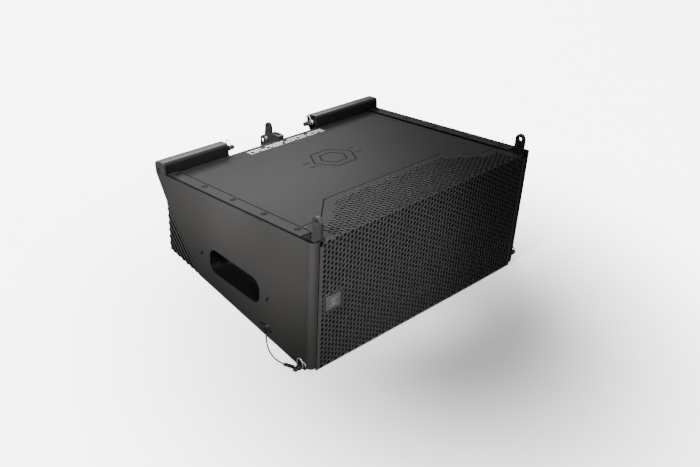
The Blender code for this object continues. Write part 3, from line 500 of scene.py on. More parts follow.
# ------------------------------------------------------------------ finishes
@dataclass(frozen=True)
class Finish:
    """A procedural finish: a colour with slow variation, fine grain in height and roughness."""

    name: str
    colour: tuple[float, float, float]
    roughness: float
    metallic: float = 0.0
    grain: float = 900.0
    bump: float = 0.12
    bump_height: float = 0.0002
    variation: float = 0.12
    specular: float = 0.5
    coat: float = 0.0
    stretch: tuple[float, float, float] = (1.0, 1.0, 1.0)
    patches: float = 9.0
    swing: float = 0.06

    def build(self) -> bpy.types.Material:
        """Makes the material, once for each name.

        Returns:
            The material.
        """
        found = bpy.data.materials.get(self.name)
        if found:
            return found
        material = bpy.data.materials.new(self.name)
        material.use_nodes = True
        nodes, links = material.node_tree.nodes, material.node_tree.links
        shader = nodes["Principled BSDF"]
        shader.inputs["Metallic"].default_value = self.metallic
        shader.inputs["Specular IOR Level"].default_value = self.specular
        shader.inputs["Coat Weight"].default_value = self.coat
        shader.inputs["Coat Roughness"].default_value = 0.25
        place = nodes.new("ShaderNodeTexCoord")
        mapping = nodes.new("ShaderNodeMapping")
        mapping.inputs["Scale"].default_value = self.stretch
        links.new(place.outputs["Object"], mapping.inputs["Vector"])
        fine = self.noise(nodes, links, mapping, self.grain, 3.0)
        broad = self.noise(nodes, links, mapping, self.patches, 4.0)
        tint = nodes.new("ShaderNodeMix")
        tint.data_type = "RGBA"
        tint.inputs[6].default_value = (*[c * (1 - self.variation) for c in self.colour], 1.0)
        tint.inputs[7].default_value = (*[min(1.0, c * (1 + self.variation)) for c in self.colour], 1.0)
        links.new(broad, tint.inputs[0])
        links.new(tint.outputs[2], shader.inputs["Base Color"])
        rough = nodes.new("ShaderNodeMapRange")
        rough.inputs["To Min"].default_value = max(0.02, self.roughness - self.swing)
        rough.inputs["To Max"].default_value = min(1.0, self.roughness + self.swing)
        links.new(fine, rough.inputs["Value"])
        links.new(rough.outputs["Result"], shader.inputs["Roughness"])
        bump = nodes.new("ShaderNodeBump")
        bump.inputs["Strength"].default_value = self.bump
        bump.inputs["Distance"].default_value = self.bump_height
        links.new(fine, bump.inputs["Height"])
        links.new(bump.outputs["Normal"], shader.inputs["Normal"])
        return material

    @staticmethod
    def noise(
        nodes: bpy.types.Nodes,
        links: bpy.types.NodeLinks,
        mapping: bpy.types.Node,
        scale: float,
        detail: float,
    ) -> bpy.types.NodeSocket:
        """A noise texture's value on the mapping's coordinates.

        Args:
            nodes: The material's nodes.
            links: The material's links.
            mapping: The mapping node.
            scale: Scale of the noise.
            detail: Detail of the noise.

        Returns:
            The value's socket.
        """
        texture = nodes.new("ShaderNodeTexNoise")
        texture.inputs["Scale"].default_value = scale
        texture.inputs["Detail"].default_value = detail
        links.new(mapping.outputs["Vector"], texture.inputs["Vector"])
        return texture.outputs["Fac"]


@dataclass(frozen=True)
class Palette:
    """Every finish of the loudspeaker."""

    shell: Finish = Finish("shell_paint", (0.036, 0.035, 0.0335), 0.36, grain=1500.0, bump=0.14)
    panel: Finish = Finish("panel_paint", (0.012, 0.012, 0.012), 0.46, grain=1500.0, bump=0.2, specular=0.15)
    inner: Finish = Finish("inner_paint", (0.02, 0.02, 0.02), 0.7, grain=700.0)
    mesh_paint: Finish = Finish("grille_paint", (0.060, 0.059, 0.057), 0.36, grain=1700.0, bump=0.12)
    moulding: Finish = Finish("moulded_black", (0.014, 0.014, 0.014), 0.42, grain=1300.0, bump=0.1)
    bar: Finish = Finish("bar_black", (0.004, 0.004, 0.004), 0.32, grain=1300.0, bump=0.06, specular=0.95)
    cup: Finish = Finish("cup_black", (0.003, 0.003, 0.003), 0.38, grain=1300.0, bump=0.1, specular=0.22)
    steel: Finish = Finish("black_steel_coat", (0.02, 0.02, 0.02), 0.36, grain=1100.0, bump=0.08)
    link: Finish = Finish("link_coat", (0.03, 0.03, 0.03), 0.36, 0.1, grain=1100.0, bump=0.06)
    grip: Finish = Finish("pin_grip", (0.012, 0.012, 0.012), 0.3, grain=1100.0, bump=0.06)
    pin: Finish = Finish(
        "turned_steel", (0.86, 0.86, 0.86), 0.34, 0.85, 260.0, 0.05, 0.0001, 0.04, stretch=(14.0, 1.0, 1.0)
    )
    ferrule: Finish = Finish("blackened_ferrule", (0.03, 0.03, 0.03), 0.33, 0.6, grain=900.0, bump=0.1)
    rubber: Finish = Finish("coated_wire", (0.004, 0.004, 0.004), 0.5, grain=1800.0, bump=0.1)
    foam: Finish = Finish(
        "open_foam", (0.005, 0.005, 0.005), 0.95, grain=420.0, bump=0.9, bump_height=0.001, specular=0.1
    )
    cone: Finish = Finish("coated_paper", (0.018, 0.018, 0.019), 0.7, grain=500.0, bump=0.4)
    magnet: Finish = Finish("zinc_plate", (0.32, 0.32, 0.34), 0.35, 0.9, grain=600.0, bump=0.1)
    board: Finish = Finish("circuit_lacquer", (0.015, 0.1, 0.035), 0.35, grain=300.0, coat=0.4)
    copper: Finish = Finish("copper_winding", (0.62, 0.27, 0.13), 0.3, 1.0, 200.0, 0.4, 0.0004)
    screw: Finish = Finish("screw_black", (0.03, 0.03, 0.03), 0.3, 0.5, grain=900.0, bump=0.05)
    # dark: the colour of joints, marks and black screws, and also painted shade on lit edges, in gaps,
    # notches and counterbores
    dark: Finish = Finish("engraved_dark", (0.002, 0.002, 0.002), 0.8, grain=900.0, specular=0.05)
    print_white: Finish = Finish("printed_white", (0.78, 0.78, 0.78), 0.5, grain=1500.0, variation=0.05)
    badge: Finish = Finish("badge_face", (0.085, 0.085, 0.085), 0.3, grain=1200.0, bump=0.05, coat=0.3)
    badge_mark: Finish = Finish("badge_mark", (0.55, 0.55, 0.55), 0.3, 0.7, grain=900.0, bump=0.05)


PALETTE = Palette()


def dress(
    piece: bpy.types.Object,
    finish: Finish,
    body: str = "cabinet",
    nodes: Sequence[str] = (),
) -> bpy.types.Object:
    """Gives a piece its finish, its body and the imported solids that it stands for.

    Args:
        piece: The finished piece.
        finish: Its finish.
        body: The body that it rides on.
        nodes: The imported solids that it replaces.

    Returns:
        The same piece.
    """
    piece.data.materials.clear()
    piece.data.materials.append(finish.build())
    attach(piece, body)
    if nodes:
        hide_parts(*nodes)
    LOG.info("%s rides on %s", piece.name, body)
    return piece


def paint_node(node: str, finish: Finish) -> None:
    """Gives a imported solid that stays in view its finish.

    Args:
        node: The solid's node.
        finish: Its finish.
    """
    data = frame["nodes"][node].data
    data.materials.clear()
    data.materials.append(finish.build())


def softened(node: str, finish: Finish, width: float, body: str) -> bpy.types.Object:
    """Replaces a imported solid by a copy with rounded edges.

    Args:
        node: The solid.
        finish: Its finish.
        width: Width of the rounded edge.
        body: The body that the copy rides.

    Returns:
        The copy.
    """
    piece = soften(copy_of_node(node), width, 2)
    dress(piece, finish, body, [node])
    return piece


def darkened(piece: bpy.types.Object, normal: Vector, least: float, above: float = -1.0) -> None:
    """Paints shade by giving the black finish to the faces that look along a direction.

    Args:
        piece: The piece, which has its own finish already.
        normal: The direction.
        least: The least cosine between a face's normal and the direction.
        above: The height below which faces keep their finish.
    """
    piece.data.materials.append(PALETTE.dark.build())
    index = len(piece.data.materials) - 1
    for face in piece.data.polygons:
        if face.normal.dot(normal) > least and face.center.z > above:
            face.material_index = index


# ------------------------------------------------------------------ Geometry Nodes
class Tree:
    """A small hand for building a Geometry Nodes tree with named inputs."""

    def __init__(self, name: str, inputs: Sequence[tuple[str, str, object]]) -> None:
        """Starts the tree.

        Args:
            name: Name of the tree.
            inputs: Each input's name, socket type and default value.
        """
        self.group = bpy.data.node_groups.new(name, "GeometryNodeTree")
        face = self.group.interface
        face.new_socket("Geometry", in_out="INPUT", socket_type="NodeSocketGeometry")
        self.ids: dict[str, str] = {}
        for label, kind, value in inputs:
            socket = face.new_socket(label, in_out="INPUT", socket_type=f"NodeSocket{kind}")
            if value is not None:
                socket.default_value = value
            self.ids[label] = socket.identifier
        face.new_socket("Geometry", in_out="OUTPUT", socket_type="NodeSocketGeometry")
        self.start = self.group.nodes.new("NodeGroupInput")
        self.end = self.group.nodes.new("NodeGroupOutput")

    def input(self, label: str) -> bpy.types.NodeSocket:
        """The socket of a named input."""
        return self.start.outputs[label]

    def node(self, kind: str, values: Optional[dict] = None, **settings: object) -> bpy.types.Node:
        """Adds a node, sets it up and joins or sets its inputs.

        Args:
            kind: The node's type.
            values: Input name or number to a socket or a value.
            settings: The node's own properties.

        Returns:
            The node.
        """
        made = self.group.nodes.new(kind)
        for key, value in settings.items():
            setattr(made, key, value)
        for key, value in (values or {}).items():
            self.feed(made.inputs[key], value)
        return made

    def feed(self, socket: bpy.types.NodeSocket, value: object) -> None:
        """Joins a socket to another, or sets its value.

        Args:
            socket: The socket to feed.
            value: Another socket, or a value.
        """
        if isinstance(value, bpy.types.NodeSocket):
            self.group.links.new(value, socket)
        else:
            socket.default_value = value

    def maths(self, operation: str, one: object, other: object = 0.0) -> bpy.types.NodeSocket:
        """The result of a Math node."""
        return self.node("ShaderNodeMath", {0: one, 1: other}, operation=operation).outputs[0]

    def vector(self, x: object = 0.0, y: object = 0.0, z: object = 0.0) -> bpy.types.NodeSocket:
        """The result of a Combine XYZ node."""
        return self.node("ShaderNodeCombineXYZ", {"X": x, "Y": y, "Z": z}).outputs[0]

    def finish(self, geometry: bpy.types.NodeSocket, material: str = "Material") -> None:
        """Ends the tree in Realize Instances and Set Material.

        Args:
            geometry: The geometry to end with.
            material: Name of the material's input.
        """
        real = self.node("GeometryNodeRealizeInstances", {"Geometry": geometry})
        painted = self.node(
            "GeometryNodeSetMaterial", {"Geometry": real.outputs[0], "Material": self.input(material)}
        )
        self.feed(self.end.inputs[0], painted.outputs[0])

    def apply(self, piece: bpy.types.Object, values: dict[str, object]) -> bpy.types.Object:
        """Runs the tree on a piece and keeps the result as plain mesh.

        Args:
            piece: The piece.
            values: Each input's value.

        Returns:
            The same piece.
        """
        modifier = piece.modifiers.new(self.group.name, "NODES")
        modifier.node_group = self.group
        for label, value in values.items():
            modifier[self.ids[label]] = value
        return modified(piece)


class Perforation:
    """Punches a staggered field of round holes through a sheet."""

    def __init__(self) -> None:
        """Builds the tree."""
        self.tree = Tree(
            "perforation",
            (
                ("Columns", "Int", 2),
                ("Rows", "Int", 2),
                ("Pitch", "Float", 0.01),
                ("Hole", "Float", 0.003),
                ("Punch", "Float", 0.02),
                ("Middle", "Vector", None),
                ("Turn", "Vector", None),
                ("Wide Limit", "Float", 1.0),
                ("Wide Until", "Float", 1.0),
                ("Slant Limit", "Float", 2.0),
                ("Material", "Material", None),
            ),
        )
        tree = self.tree
        spacing = tree.maths("MULTIPLY", tree.input("Pitch"), math.cos(math.radians(30)))
        wide = tree.maths("MULTIPLY", tree.maths("SUBTRACT", tree.input("Columns"), 1.0), spacing)
        tall = tree.maths("MULTIPLY", tree.maths("SUBTRACT", tree.input("Rows"), 1.0), tree.input("Pitch"))
        grid = tree.node(
            "GeometryNodeMeshGrid",
            {
                "Size X": wide,
                "Size Y": tall,
                "Vertices X": tree.input("Columns"),
                "Vertices Y": tree.input("Rows"),
            },
        )
        index = tree.node("GeometryNodeInputIndex").outputs[0]
        column = tree.maths("FLOOR", tree.maths("DIVIDE", index, tree.input("Rows")))
        odd = tree.maths("MODULO", column, 2.0)
        half_pitch = tree.maths("MULTIPLY", tree.input("Pitch"), 0.5)
        shift = tree.maths("MULTIPLY", tree.maths("SUBTRACT", odd, 0.5), half_pitch)
        staggered = tree.node(
            "GeometryNodeSetPosition", {"Geometry": grid.outputs[0], "Offset": tree.vector(y=shift)}
        )
        place = tree.node("ShaderNodeSeparateXYZ", {0: tree.node("GeometryNodeInputPosition").outputs[0]})
        across = tree.maths("ABSOLUTE", place.outputs[0])
        along = tree.maths("ADD", place.outputs[1], tree.maths("MULTIPLY", tall, 0.5))
        too_wide = tree.maths("GREATER_THAN", across, tree.input("Wide Limit"))
        too_far = tree.maths("GREATER_THAN", along, tree.input("Wide Until"))
        slanted = tree.maths("GREATER_THAN", tree.maths("ADD", across, along), tree.input("Slant Limit"))
        outside = tree.maths("MAXIMUM", too_wide, tree.maths("MULTIPLY", too_far, slanted))
        field_points = tree.node(
            "GeometryNodeDeleteGeometry",
            {"Geometry": staggered.outputs[0], "Selection": outside},
            domain="POINT",
        )
        punch = tree.node(
            "GeometryNodeMeshCylinder",
            {"Vertices": 12, "Radius": tree.input("Hole"), "Depth": tree.input("Punch")},
        )
        punches = tree.node(
            "GeometryNodeInstanceOnPoints", {"Points": field_points.outputs[0], "Instance": punch.outputs[0]}
        )
        real = tree.node("GeometryNodeRealizeInstances", {"Geometry": punches.outputs[0]})
        turn = tree.node("FunctionNodeEulerToRotation", {0: tree.input("Turn")})
        placed = tree.node(
            "GeometryNodeTransform",
            {"Geometry": real.outputs[0], "Translation": tree.input("Middle"), "Rotation": turn.outputs[0]},
        )
        cut = tree.node("GeometryNodeMeshBoolean", operation="DIFFERENCE", solver="MANIFOLD")
        tree.feed(cut.inputs["Mesh 1"], tree.input("Geometry"))
        tree.feed(cut.inputs["Mesh 2"], placed.outputs[0])
        tree.finish(cut.outputs[0])


class Repeater:
    """Places a shape on every point of a mesh, on the point's own axis, with a fixed random spin."""

    def __init__(self) -> None:
        """Builds the tree."""
        self.tree = Tree(
            "repeater",
            (
                ("Shape", "Object", None),
                ("Spin", "Float", math.pi),
                ("Seed", "Int", 4),
                ("Material", "Material", None),
            ),
        )
        tree = self.tree
        shape = tree.node("GeometryNodeObjectInfo", {"Object": tree.input("Shape")})
        axis = tree.node("GeometryNodeInputNamedAttribute", {"Name": "axis"}, data_type="FLOAT_VECTOR")
        stand = tree.node("FunctionNodeAlignRotationToVector", {"Vector": axis.outputs[0]}, axis="Z")
        chance = tree.node("FunctionNodeRandomValue", data_type="FLOAT")
        tree.feed(chance.inputs[3], tree.input("Spin"))
        tree.feed(chance.inputs[2], 0.0)
        tree.feed(chance.inputs["Seed"], tree.input("Seed"))
        spin = tree.node(
            "FunctionNodeAxisAngleToRotation", {"Axis": (0.0, 0.0, 1.0), "Angle": chance.outputs[1]}
        )
        turned_round = tree.node(
            "FunctionNodeRotateRotation",
            {"Rotation": stand.outputs[0], "Rotate By": spin.outputs[0]},
            rotation_space="LOCAL",
        )
        copies = tree.node(
            "GeometryNodeInstanceOnPoints",
            {
                "Points": tree.input("Geometry"),
                "Instance": shape.outputs["Geometry"],
                "Rotation": turned_round.outputs[0],
            },
        )
        tree.finish(copies.outputs[0])

    def place(
        self,
        name: str,
        shape: bpy.types.Mesh,
        spots: Sequence[tuple[Vector, Vector]],
        finish: Finish,
        spin: float = math.pi,
        seed: int = 4,
    ) -> bpy.types.Object:
        """Repeats a shape, whose foot is at its origin and which stands along Z.

        Args:
            name: Name of the new piece.
            shape: The shape.
            spots: Each copy's place and axis.
            finish: The finish of all copies.
            spin: The most that a copy is turned about its axis.
            seed: Seed of the turns.

        Returns:
            The piece, with every copy in one mesh.
        """
        points = bpy.data.meshes.new(name)
        points.from_pydata([spot for spot, _ in spots], [], [])
        axes = points.attributes.new("axis", "FLOAT_VECTOR", "POINT")
        for item, (_, axis) in zip(axes.data, spots):
            item.vector = axis.normalized()
        piece = put(name, points)
        model = put(f"{name}_model", shape)
        model.hide_render = True
        self.tree.apply(
            piece, {"Shape": model, "Spin": spin, "Seed": seed, "Material": finish.build()}
        )
        bpy.data.objects.remove(model, do_unlink=True)
        if "axis" in piece.data.attributes:
            piece.data.attributes.remove(piece.data.attributes["axis"])
        return smooth(piece, 35.0)


class Louvre:
    """Lays equal blades side by side and trims them to a boundary."""

    def __init__(self) -> None:
        """Builds the tree."""
        self.tree = Tree(
            "louvre",
            (
                ("Blades", "Int", 7),
                ("First", "Vector", None),
                ("Step", "Vector", None),
                ("Boundary", "Object", None),
                ("Material", "Material", None),
            ),
        )
        tree = self.tree
        row = tree.node(
            "GeometryNodeMeshLine",
            {
                "Count": tree.input("Blades"),
                "Start Location": tree.input("First"),
                "Offset": tree.input("Step"),
            },
            mode="OFFSET",
        )
        copies = tree.node(
            "GeometryNodeInstanceOnPoints", {"Points": row.outputs[0], "Instance": tree.input("Geometry")}
        )
        real = tree.node("GeometryNodeRealizeInstances", {"Geometry": copies.outputs[0]})
        boundary = tree.node("GeometryNodeObjectInfo", {"Object": tree.input("Boundary")})
        trim = tree.node("GeometryNodeMeshBoolean", operation="INTERSECT", solver="EXACT")
        tree.feed(trim.inputs["Mesh 2"], real.outputs[0])
        tree.feed(trim.inputs["Mesh 2"], boundary.outputs["Geometry"])
        tree.finish(trim.outputs[0])


def screw_head(radius: float, height: float, key: float) -> bpy.types.Mesh:
    """A low round screw head with a hexagonal socket, standing along Z on its foot.

    Args:
        radius: Radius of the head.
        height: Height of the head.
        key: Radius of the hexagon's corners.

    Returns:
        The head as a mesh.
    """
    sides = 18
    edge = min(height * 0.45, radius * 0.25)
    rings = [
        disc(radius, sides),
        disc(radius, sides),
        disc(radius - edge * 0.4, sides),
        disc(radius - edge * 1.3, sides),
    ]
    heights = [0.0, height - edge, height - edge * 0.35, height]
    corners = [(key * math.cos(math.pi * i / 3), key * math.sin(math.pi * i / 3)) for i in range(7)]
    hexagon: Outline = []
    for (u, v), (next_u, next_v) in zip(corners, corners[1:]):
        hexagon += [(u + (next_u - u) * i / 3, v + (next_v - v) * i / 3) for i in range(3)]
    rings += [hexagon, hexagon]
    heights += [height, height * 0.35]
    loops = [[Vector((u, v, h)) for u, v in ring] for ring, h in zip(rings, heights)]
    return lofted(loops)


# ------------------------------------------------------------------ studio
@dataclass(frozen=True)
class Lamp:
    """A studio light: a rectangular soft light, or a spot with a soft edge where it has a half angle."""

    name: str
    place: tuple[float, float, float]
    aim: tuple[float, float, float]
    power: float
    size: tuple[float, float] = (0.0, 0.0)
    half_angle: float = 0.0


MIDDLE = (0.0, 0.0, 0.12)
LAMPS = (
    Lamp("overhead", (0.5, 0.9, 2.4), MIDDLE, 24.0, size=(2.4, 1.8)),
    Lamp("rear_soft", (0.7, 2.4, 1.3), MIDDLE, 38.0, size=(2.4, 1.2)),
    Lamp("corner_strip", (-1.7, -1.3, 0.75), MIDDLE, 8.0, size=(0.16, 1.3)),
    Lamp("side_spot_rear", (-1.5, 0.25, 1.35), (-0.286, 0.15, 0.29), 390.0, half_angle=8.6),
    Lamp("side_spot_front", (-1.5, -0.2, 1.35), (-0.286, -0.12, 0.29), 330.0, half_angle=8.4),
    Lamp("front_fill", (0.9, -2.2, 1.0), MIDDLE, 4.5, size=(1.0, 1.0)),
    Lamp("front_spot", (-0.9, -1.7, 1.45), (-0.22, -0.24, 0.26), 220.0, half_angle=9.5),
)


@dataclass
class Studio:
    """Camera, floor, world and lights."""

    cabinet: Cabinet
    azimuth: float = math.radians(-47.59)
    elevation: float = math.radians(35.0)
    roll: float = math.radians(8.59)
    eye: tuple[float, float, float] = (-1.0336, -0.7273, 1.0390)
    focal: float = 43.117
    floor_half: float = 25.0
    floor_glow: tuple[float, float] = (0.15, 6.5)
    # painted shadow on the floor: where it is centred and how far it reaches
    dim_place: tuple[float, float, float] = (0.02, -0.30, 0.0)
    dim_reach: tuple[float, float] = (0.10, 0.85)
    sky_strength: float = 0.2

    def camera(self) -> None:
        """Places the camera."""
        a, e, r = self.azimuth, self.elevation, self.roll
        back = Vector((math.sin(a) * math.cos(e), -math.cos(a) * math.cos(e), math.sin(e)))
        level = Vector((math.cos(a), math.sin(a), 0.0))
        rise = back.cross(level)
        right = level * math.cos(r) + rise * math.sin(r)
        up = rise * math.cos(r) - level * math.sin(r)
        data = bpy.data.cameras.new("camera")
        data.lens = self.focal
        data.sensor_width = 36.0
        data.sensor_fit = "HORIZONTAL"
        data.clip_start = 0.01
        made = bpy.data.objects.new("camera", data)
        bpy.context.scene.collection.objects.link(made)
        turn = Matrix((right, up, back)).transposed().to_4x4()
        made.matrix_world = Matrix.Translation(self.cabinet.side_frame() @ Vector(self.eye)) @ turn
        bpy.context.scene.camera = made

    def floor(self) -> None:
        """A plain pale floor that glows, with a painted shadow in front of the cabinet, and which lights
        nothing from below.
        """
        h = self.floor_half
        plane = slab([(-h, -h), (h, -h), (h, h), (-h, h)], -0.02, -0.0002, "z")
        floor = put("floor", plane)
        material = Finish("floor_white", (0.86, 0.86, 0.86), 0.75, variation=0.005, bump=0.0).build()
        shader = material.node_tree.nodes["Principled BSDF"]
        shader.inputs["Emission Color"].default_value = (1.0, 1.0, 1.0, 1.0)
        nodes, links = material.node_tree.nodes, material.node_tree.links
        # painted shadow: the floor's glow is turned down near a point in front of the cabinet
        place = nodes.new("ShaderNodeTexCoord")
        away = nodes.new("ShaderNodeVectorMath")
        away.operation = "DISTANCE"
        away.inputs[1].default_value = self.dim_place
        glow = nodes.new("ShaderNodeMapRange")
        glow.interpolation_type = "SMOOTHSTEP"
        glow.inputs["From Min"].default_value, glow.inputs["From Max"].default_value = self.dim_reach
        glow.inputs["To Min"].default_value, glow.inputs["To Max"].default_value = self.floor_glow
        links.new(place.outputs["Object"], away.inputs[0])
        links.new(away.outputs["Value"], glow.inputs["Value"])
        links.new(glow.outputs["Result"], shader.inputs["Emission Strength"])
        floor.data.materials.append(material)
        floor.visible_diffuse = False
        floor.visible_glossy = False

    def world(self) -> None:
        """A pale sky above and a dark one below."""
        world = bpy.data.worlds.new("studio")
        world.use_nodes = True
        nodes, links = world.node_tree.nodes, world.node_tree.links
        place = nodes.new("ShaderNodeTexCoord")
        split = nodes.new("ShaderNodeSeparateXYZ")
        ramp = nodes.new("ShaderNodeValToRGB")
        ramp.color_ramp.elements[0].position = 0.47
        ramp.color_ramp.elements[0].color = (0.03, 0.03, 0.03, 1.0)
        ramp.color_ramp.elements[1].position = 0.60
        ramp.color_ramp.elements[1].color = (1.0, 1.0, 1.0, 1.0)
        shift = nodes.new("ShaderNodeMath")
        shift.operation = "MULTIPLY_ADD"
        shift.inputs[1].default_value = 0.5
        shift.inputs[2].default_value = 0.5
        links.new(place.outputs["Generated"], split.inputs[0])
        links.new(split.outputs["Z"], shift.inputs[0])
        links.new(shift.outputs[0], ramp.inputs["Fac"])
        links.new(ramp.outputs["Color"], nodes["Background"].inputs["Color"])
        nodes["Background"].inputs["Strength"].default_value = self.sky_strength
        bpy.context.scene.world = world

    def light(self, lamp: Lamp) -> None:
        """Adds a light that faces its aim.

        Args:
            lamp: The light.
        """
        data = bpy.data.lights.new(lamp.name, "SPOT" if lamp.half_angle else "AREA")
        if lamp.half_angle:
            data.spot_size = math.radians(2 * lamp.half_angle)
            data.spot_blend = 1.0
            data.shadow_soft_size = 0.05
        else:
            data.shape = "RECTANGLE"
            data.size, data.size_y = lamp.size
        data.energy = lamp.power
        made = bpy.data.objects.new(lamp.name, data)
        bpy.context.scene.collection.objects.link(made)
        made.location = lamp.place
        made.rotation_mode = "QUATERNION"
        made.rotation_quaternion = (Vector(lamp.aim) - Vector(lamp.place)).to_track_quat("-Z", "Y")

    def build(self) -> None:
        """Builds the studio."""
        self.camera()
        self.floor()
        self.world()
        for lamp in LAMPS:
            self.light(lamp)


# ------------------------------------------------------------------ grille
@dataclass
class Grille:
    """The folded, perforated grille with its foam, its badge and its screws."""

    cabinet: Cabinet
    repeater: Repeater
    half: float = 0.2706
    flange_half: float = 0.257
    sheet: float = 0.0011
    fold_back: float = 0.0045
    play: float = 0.0012
    bay_side: float = 0.067
    bay_middle: float = 0.1257
    knee: float = 0.2105
    shoulder: float = 0.1515
    corner: float = 0.008
    pitch: float = 0.0098
    hole: float = 0.0039
    columns: int = 62
    rows: int = 26
    first_row: float = 0.0072
    top_rows: int = 11
    top_start: float = 0.0068
    punch: float = 0.012
    hole_inset: float = 0.020
    badge_x: float = -0.2377
    badge_up: float = 0.135
    badge_wide: float = 0.0380
    badge_tall: float = 0.0335
    seam: float = 0.0008

    def bay(self, x: float) -> float:
        """Depth of the flange on the top at a distance from the middle, with its corners rounded.

        Args:
            x: The distance, on either side.

        Returns:
            The depth.
        """
        reach = abs(x)
        span = self.knee - self.shoulder
        share = (reach - self.shoulder) / span
        ease = self.corner / span
        if share <= -ease:
            return self.bay_middle
        if share >= 1 + ease:
            return self.bay_side
        drop = self.bay_middle - self.bay_side
        if share < ease:
            return self.bay_middle - drop * (share + ease) ** 2 / (4 * ease)
        if share > 1 - ease:
            return self.bay_side + drop * (1 + ease - share) ** 2 / (4 * ease)
        return self.bay_middle - drop * share

    def skin(self) -> bpy.types.Mesh:
        """The unperforated sheet's outer skin.

        Returns:
            The skin as a mesh.
        """
        cabinet = self.cabinet
        front, top = cabinet.front_frame(), cabinet.top_frame()
        start = front @ Vector((0.0, 0.0, cabinet.front_height - self.fold_back))
        up = (front.to_3x3() @ Vector((0.0, 0.0, 1.0))).normalized()
        along = (top.to_3x3() @ Vector((0.0, 1.0, 0.0))).normalized()
        low = top @ Vector((0.0, 0.0, -cabinet.skin))
        cross = up.y * along.z - up.z * along.y
        away = low - start
        share = (away.y * along.z - away.z * along.y) / cross
        corner = start + up * share
        end = corner + along * share
        fold = []
        for i in range(9):
            t = i / 8
            fold.append(start * (1 - t) ** 2 + corner * 2 * t * (1 - t) + end * t**2)
        foot = front @ Vector((0.0, 0.0, 0.002))
        half_steps = [self.half, self.flange_half]
        rounding = [self.corner * i / 3 for i in range(-3, 4)]
        half_steps += [self.knee + r for r in reversed(rounding)]
        half_steps += [self.shoulder + r for r in reversed(rounding)]
        places = [-x for x in half_steps] + list(reversed(half_steps))

        def make(shape: bmesh.types.BMesh) -> None:
            """Fills the bmesh.

            Args:
                shape: The empty bmesh.
            """
            rows = []
            for x in places:
                line = [foot, start]
                if abs(x) < self.half:
                    line = [foot, *fold, top @ Vector((0.0, self.bay(x) - self.play, -cabinet.skin))]
                rows.append([shape.verts.new((x, p.y, p.z)) for p in line])
            for one, other in zip(rows, rows[1:]):
                for i in range(min(len(one), len(other)) - 1):
                    shape.faces.new((one[i], other[i], other[i + 1], one[i + 1]))

        return mesh_from("grille_sheet", make)

    def perforated(self) -> bpy.types.Object:
        """The sheet with its thickness and both fields of holes.

        Returns:
            The sheet as a piece.
        """
        mesh = self.skin()
        outward = mesh.polygons[0].normal.y < 0
        piece = put("grille_sheet", mesh)
        wall = piece.modifiers.new("wall", "SOLIDIFY")
        wall.thickness = self.sheet
        wall.offset = -1.0 if outward else 1.0
        wall.use_even_offset = True
        modified(piece)
        cabinet = self.cabinet
        tree = Perforation().tree
        material = PALETTE.mesh_paint.build()
        tall = (self.rows - 1) * self.pitch
        middle = cabinet.front_frame() @ Vector((0.0, 0.0, self.first_row + self.pitch / 4 + tall / 2))
        tree.apply(
            piece,
            {
                "Columns": self.columns,
                "Rows": self.rows,
                "Pitch": self.pitch,
                "Hole": self.hole,
                "Punch": self.punch,
                "Middle": middle,
                "Turn": (math.pi / 2 - cabinet.lean, 0.0, 0.0),
                "Material": material,
            },
        )
        deep = (self.top_rows - 1) * self.pitch
        middle = cabinet.top_frame() @ Vector((0.0, self.top_start + deep / 2, -cabinet.skin))
        slant = self.knee + self.bay_side - self.hole_inset * math.sqrt(2)
        tree.apply(
            piece,
            {
                "Columns": self.columns,
                "Rows": self.top_rows,
                "Pitch": self.pitch,
                "Hole": self.hole,
                "Punch": self.punch,
                "Middle": middle,
                "Turn": (-cabinet.wedge, 0.0, 0.0),
                "Wide Limit": self.flange_half - self.hole_inset,
                "Wide Until": self.bay_side - self.hole_inset - self.top_start,
                "Slant Limit": slant - self.top_start,
                "Material": material,
            },
        )
        return smooth(piece, 30.0)

    def lining(self) -> None:
        """Black foam behind the whole sheet, under the flange as well."""
        front, top = self.cabinet.front_frame(), self.cabinet.top_frame()
        height, inset = self.cabinet.front_height, 0.004
        wide, tall = 2 * self.flange_half - inset, height - 0.010
        cloth = moved(rounded(2 * self.half - 0.0016, height - 0.006, 0.001, 3), 0.0, height / 2 - 0.002)
        thick = moved(rounded(wide, tall - 0.034, 0.004, 3), 0.0, tall / 2 + inset)
        steps = [i * 0.003 for i in range(round((self.flange_half - inset) / 0.003) + 1)]
        right = [(x, self.bay(x) - inset) for x in steps]
        plan = [(-x, v) for x, v in reversed(right[1:])] + right
        plan += [(right[-1][0], inset), (-right[-1][0], inset)]
        low = -self.cabinet.skin
        pieces = [
            (slab(cloth, 0.0012, 0.0015, "y"), front),
            (slab(thick, 0.0024, 0.0093, "y"), front),
            (slab(plan, low - 0.0032, low - 0.0016, "z"), top),
        ]
        dress(put("foam_lining", joined(pieces)), PALETTE.foam, nodes=["grille_foam"])

    def seams(self) -> None:
        """The dark joints round the flange and beside the posts, and at each upper corner a dark patch that
        paints the shade in a notch.
        """
        top, front = self.cabinet.top_frame(), self.cabinet.front_frame()
        steps = [i * 0.0015 for i in range(round(self.flange_half / 0.0015) + 1)]
        right = [(x, self.bay(x) + 0.0009) for x in steps]
        inner = [(x, along - 0.0030) for x, along in right]
        ring = [(-x, v) for x, v in reversed(right[1:])] + right
        ring += list(reversed(inner)) + [(-x, v) for x, v in inner[1:]]
        skin = self.cabinet.skin
        strips = [(slab(ring, -skin - 0.0026, -skin - 0.0006, "z"), top)]
        low, high = 0.003, self.cabinet.front_height - 0.004
        for sign in (-1, 1):
            centre = sign * (self.half + 0.0005)
            near, far = centre - self.seam, centre + self.seam
            strip = [(near, low), (far, low), (far, high), (near, high)]
            strips.append((slab(strip, -0.00003, 0.0010, "y"), front))
            # painted shade: a dark patch at the upper corner stands for the shaded notch
            notch = moved(rounded(0.0062, 0.0085, 0.0006, 2), sign * (self.half - 0.0032), high - 0.0032)
            strips.append((slab(notch, -0.00005, 0.0010, "y"), front))
        dress(put("grille_seams", joined(strips)), PALETTE.dark)

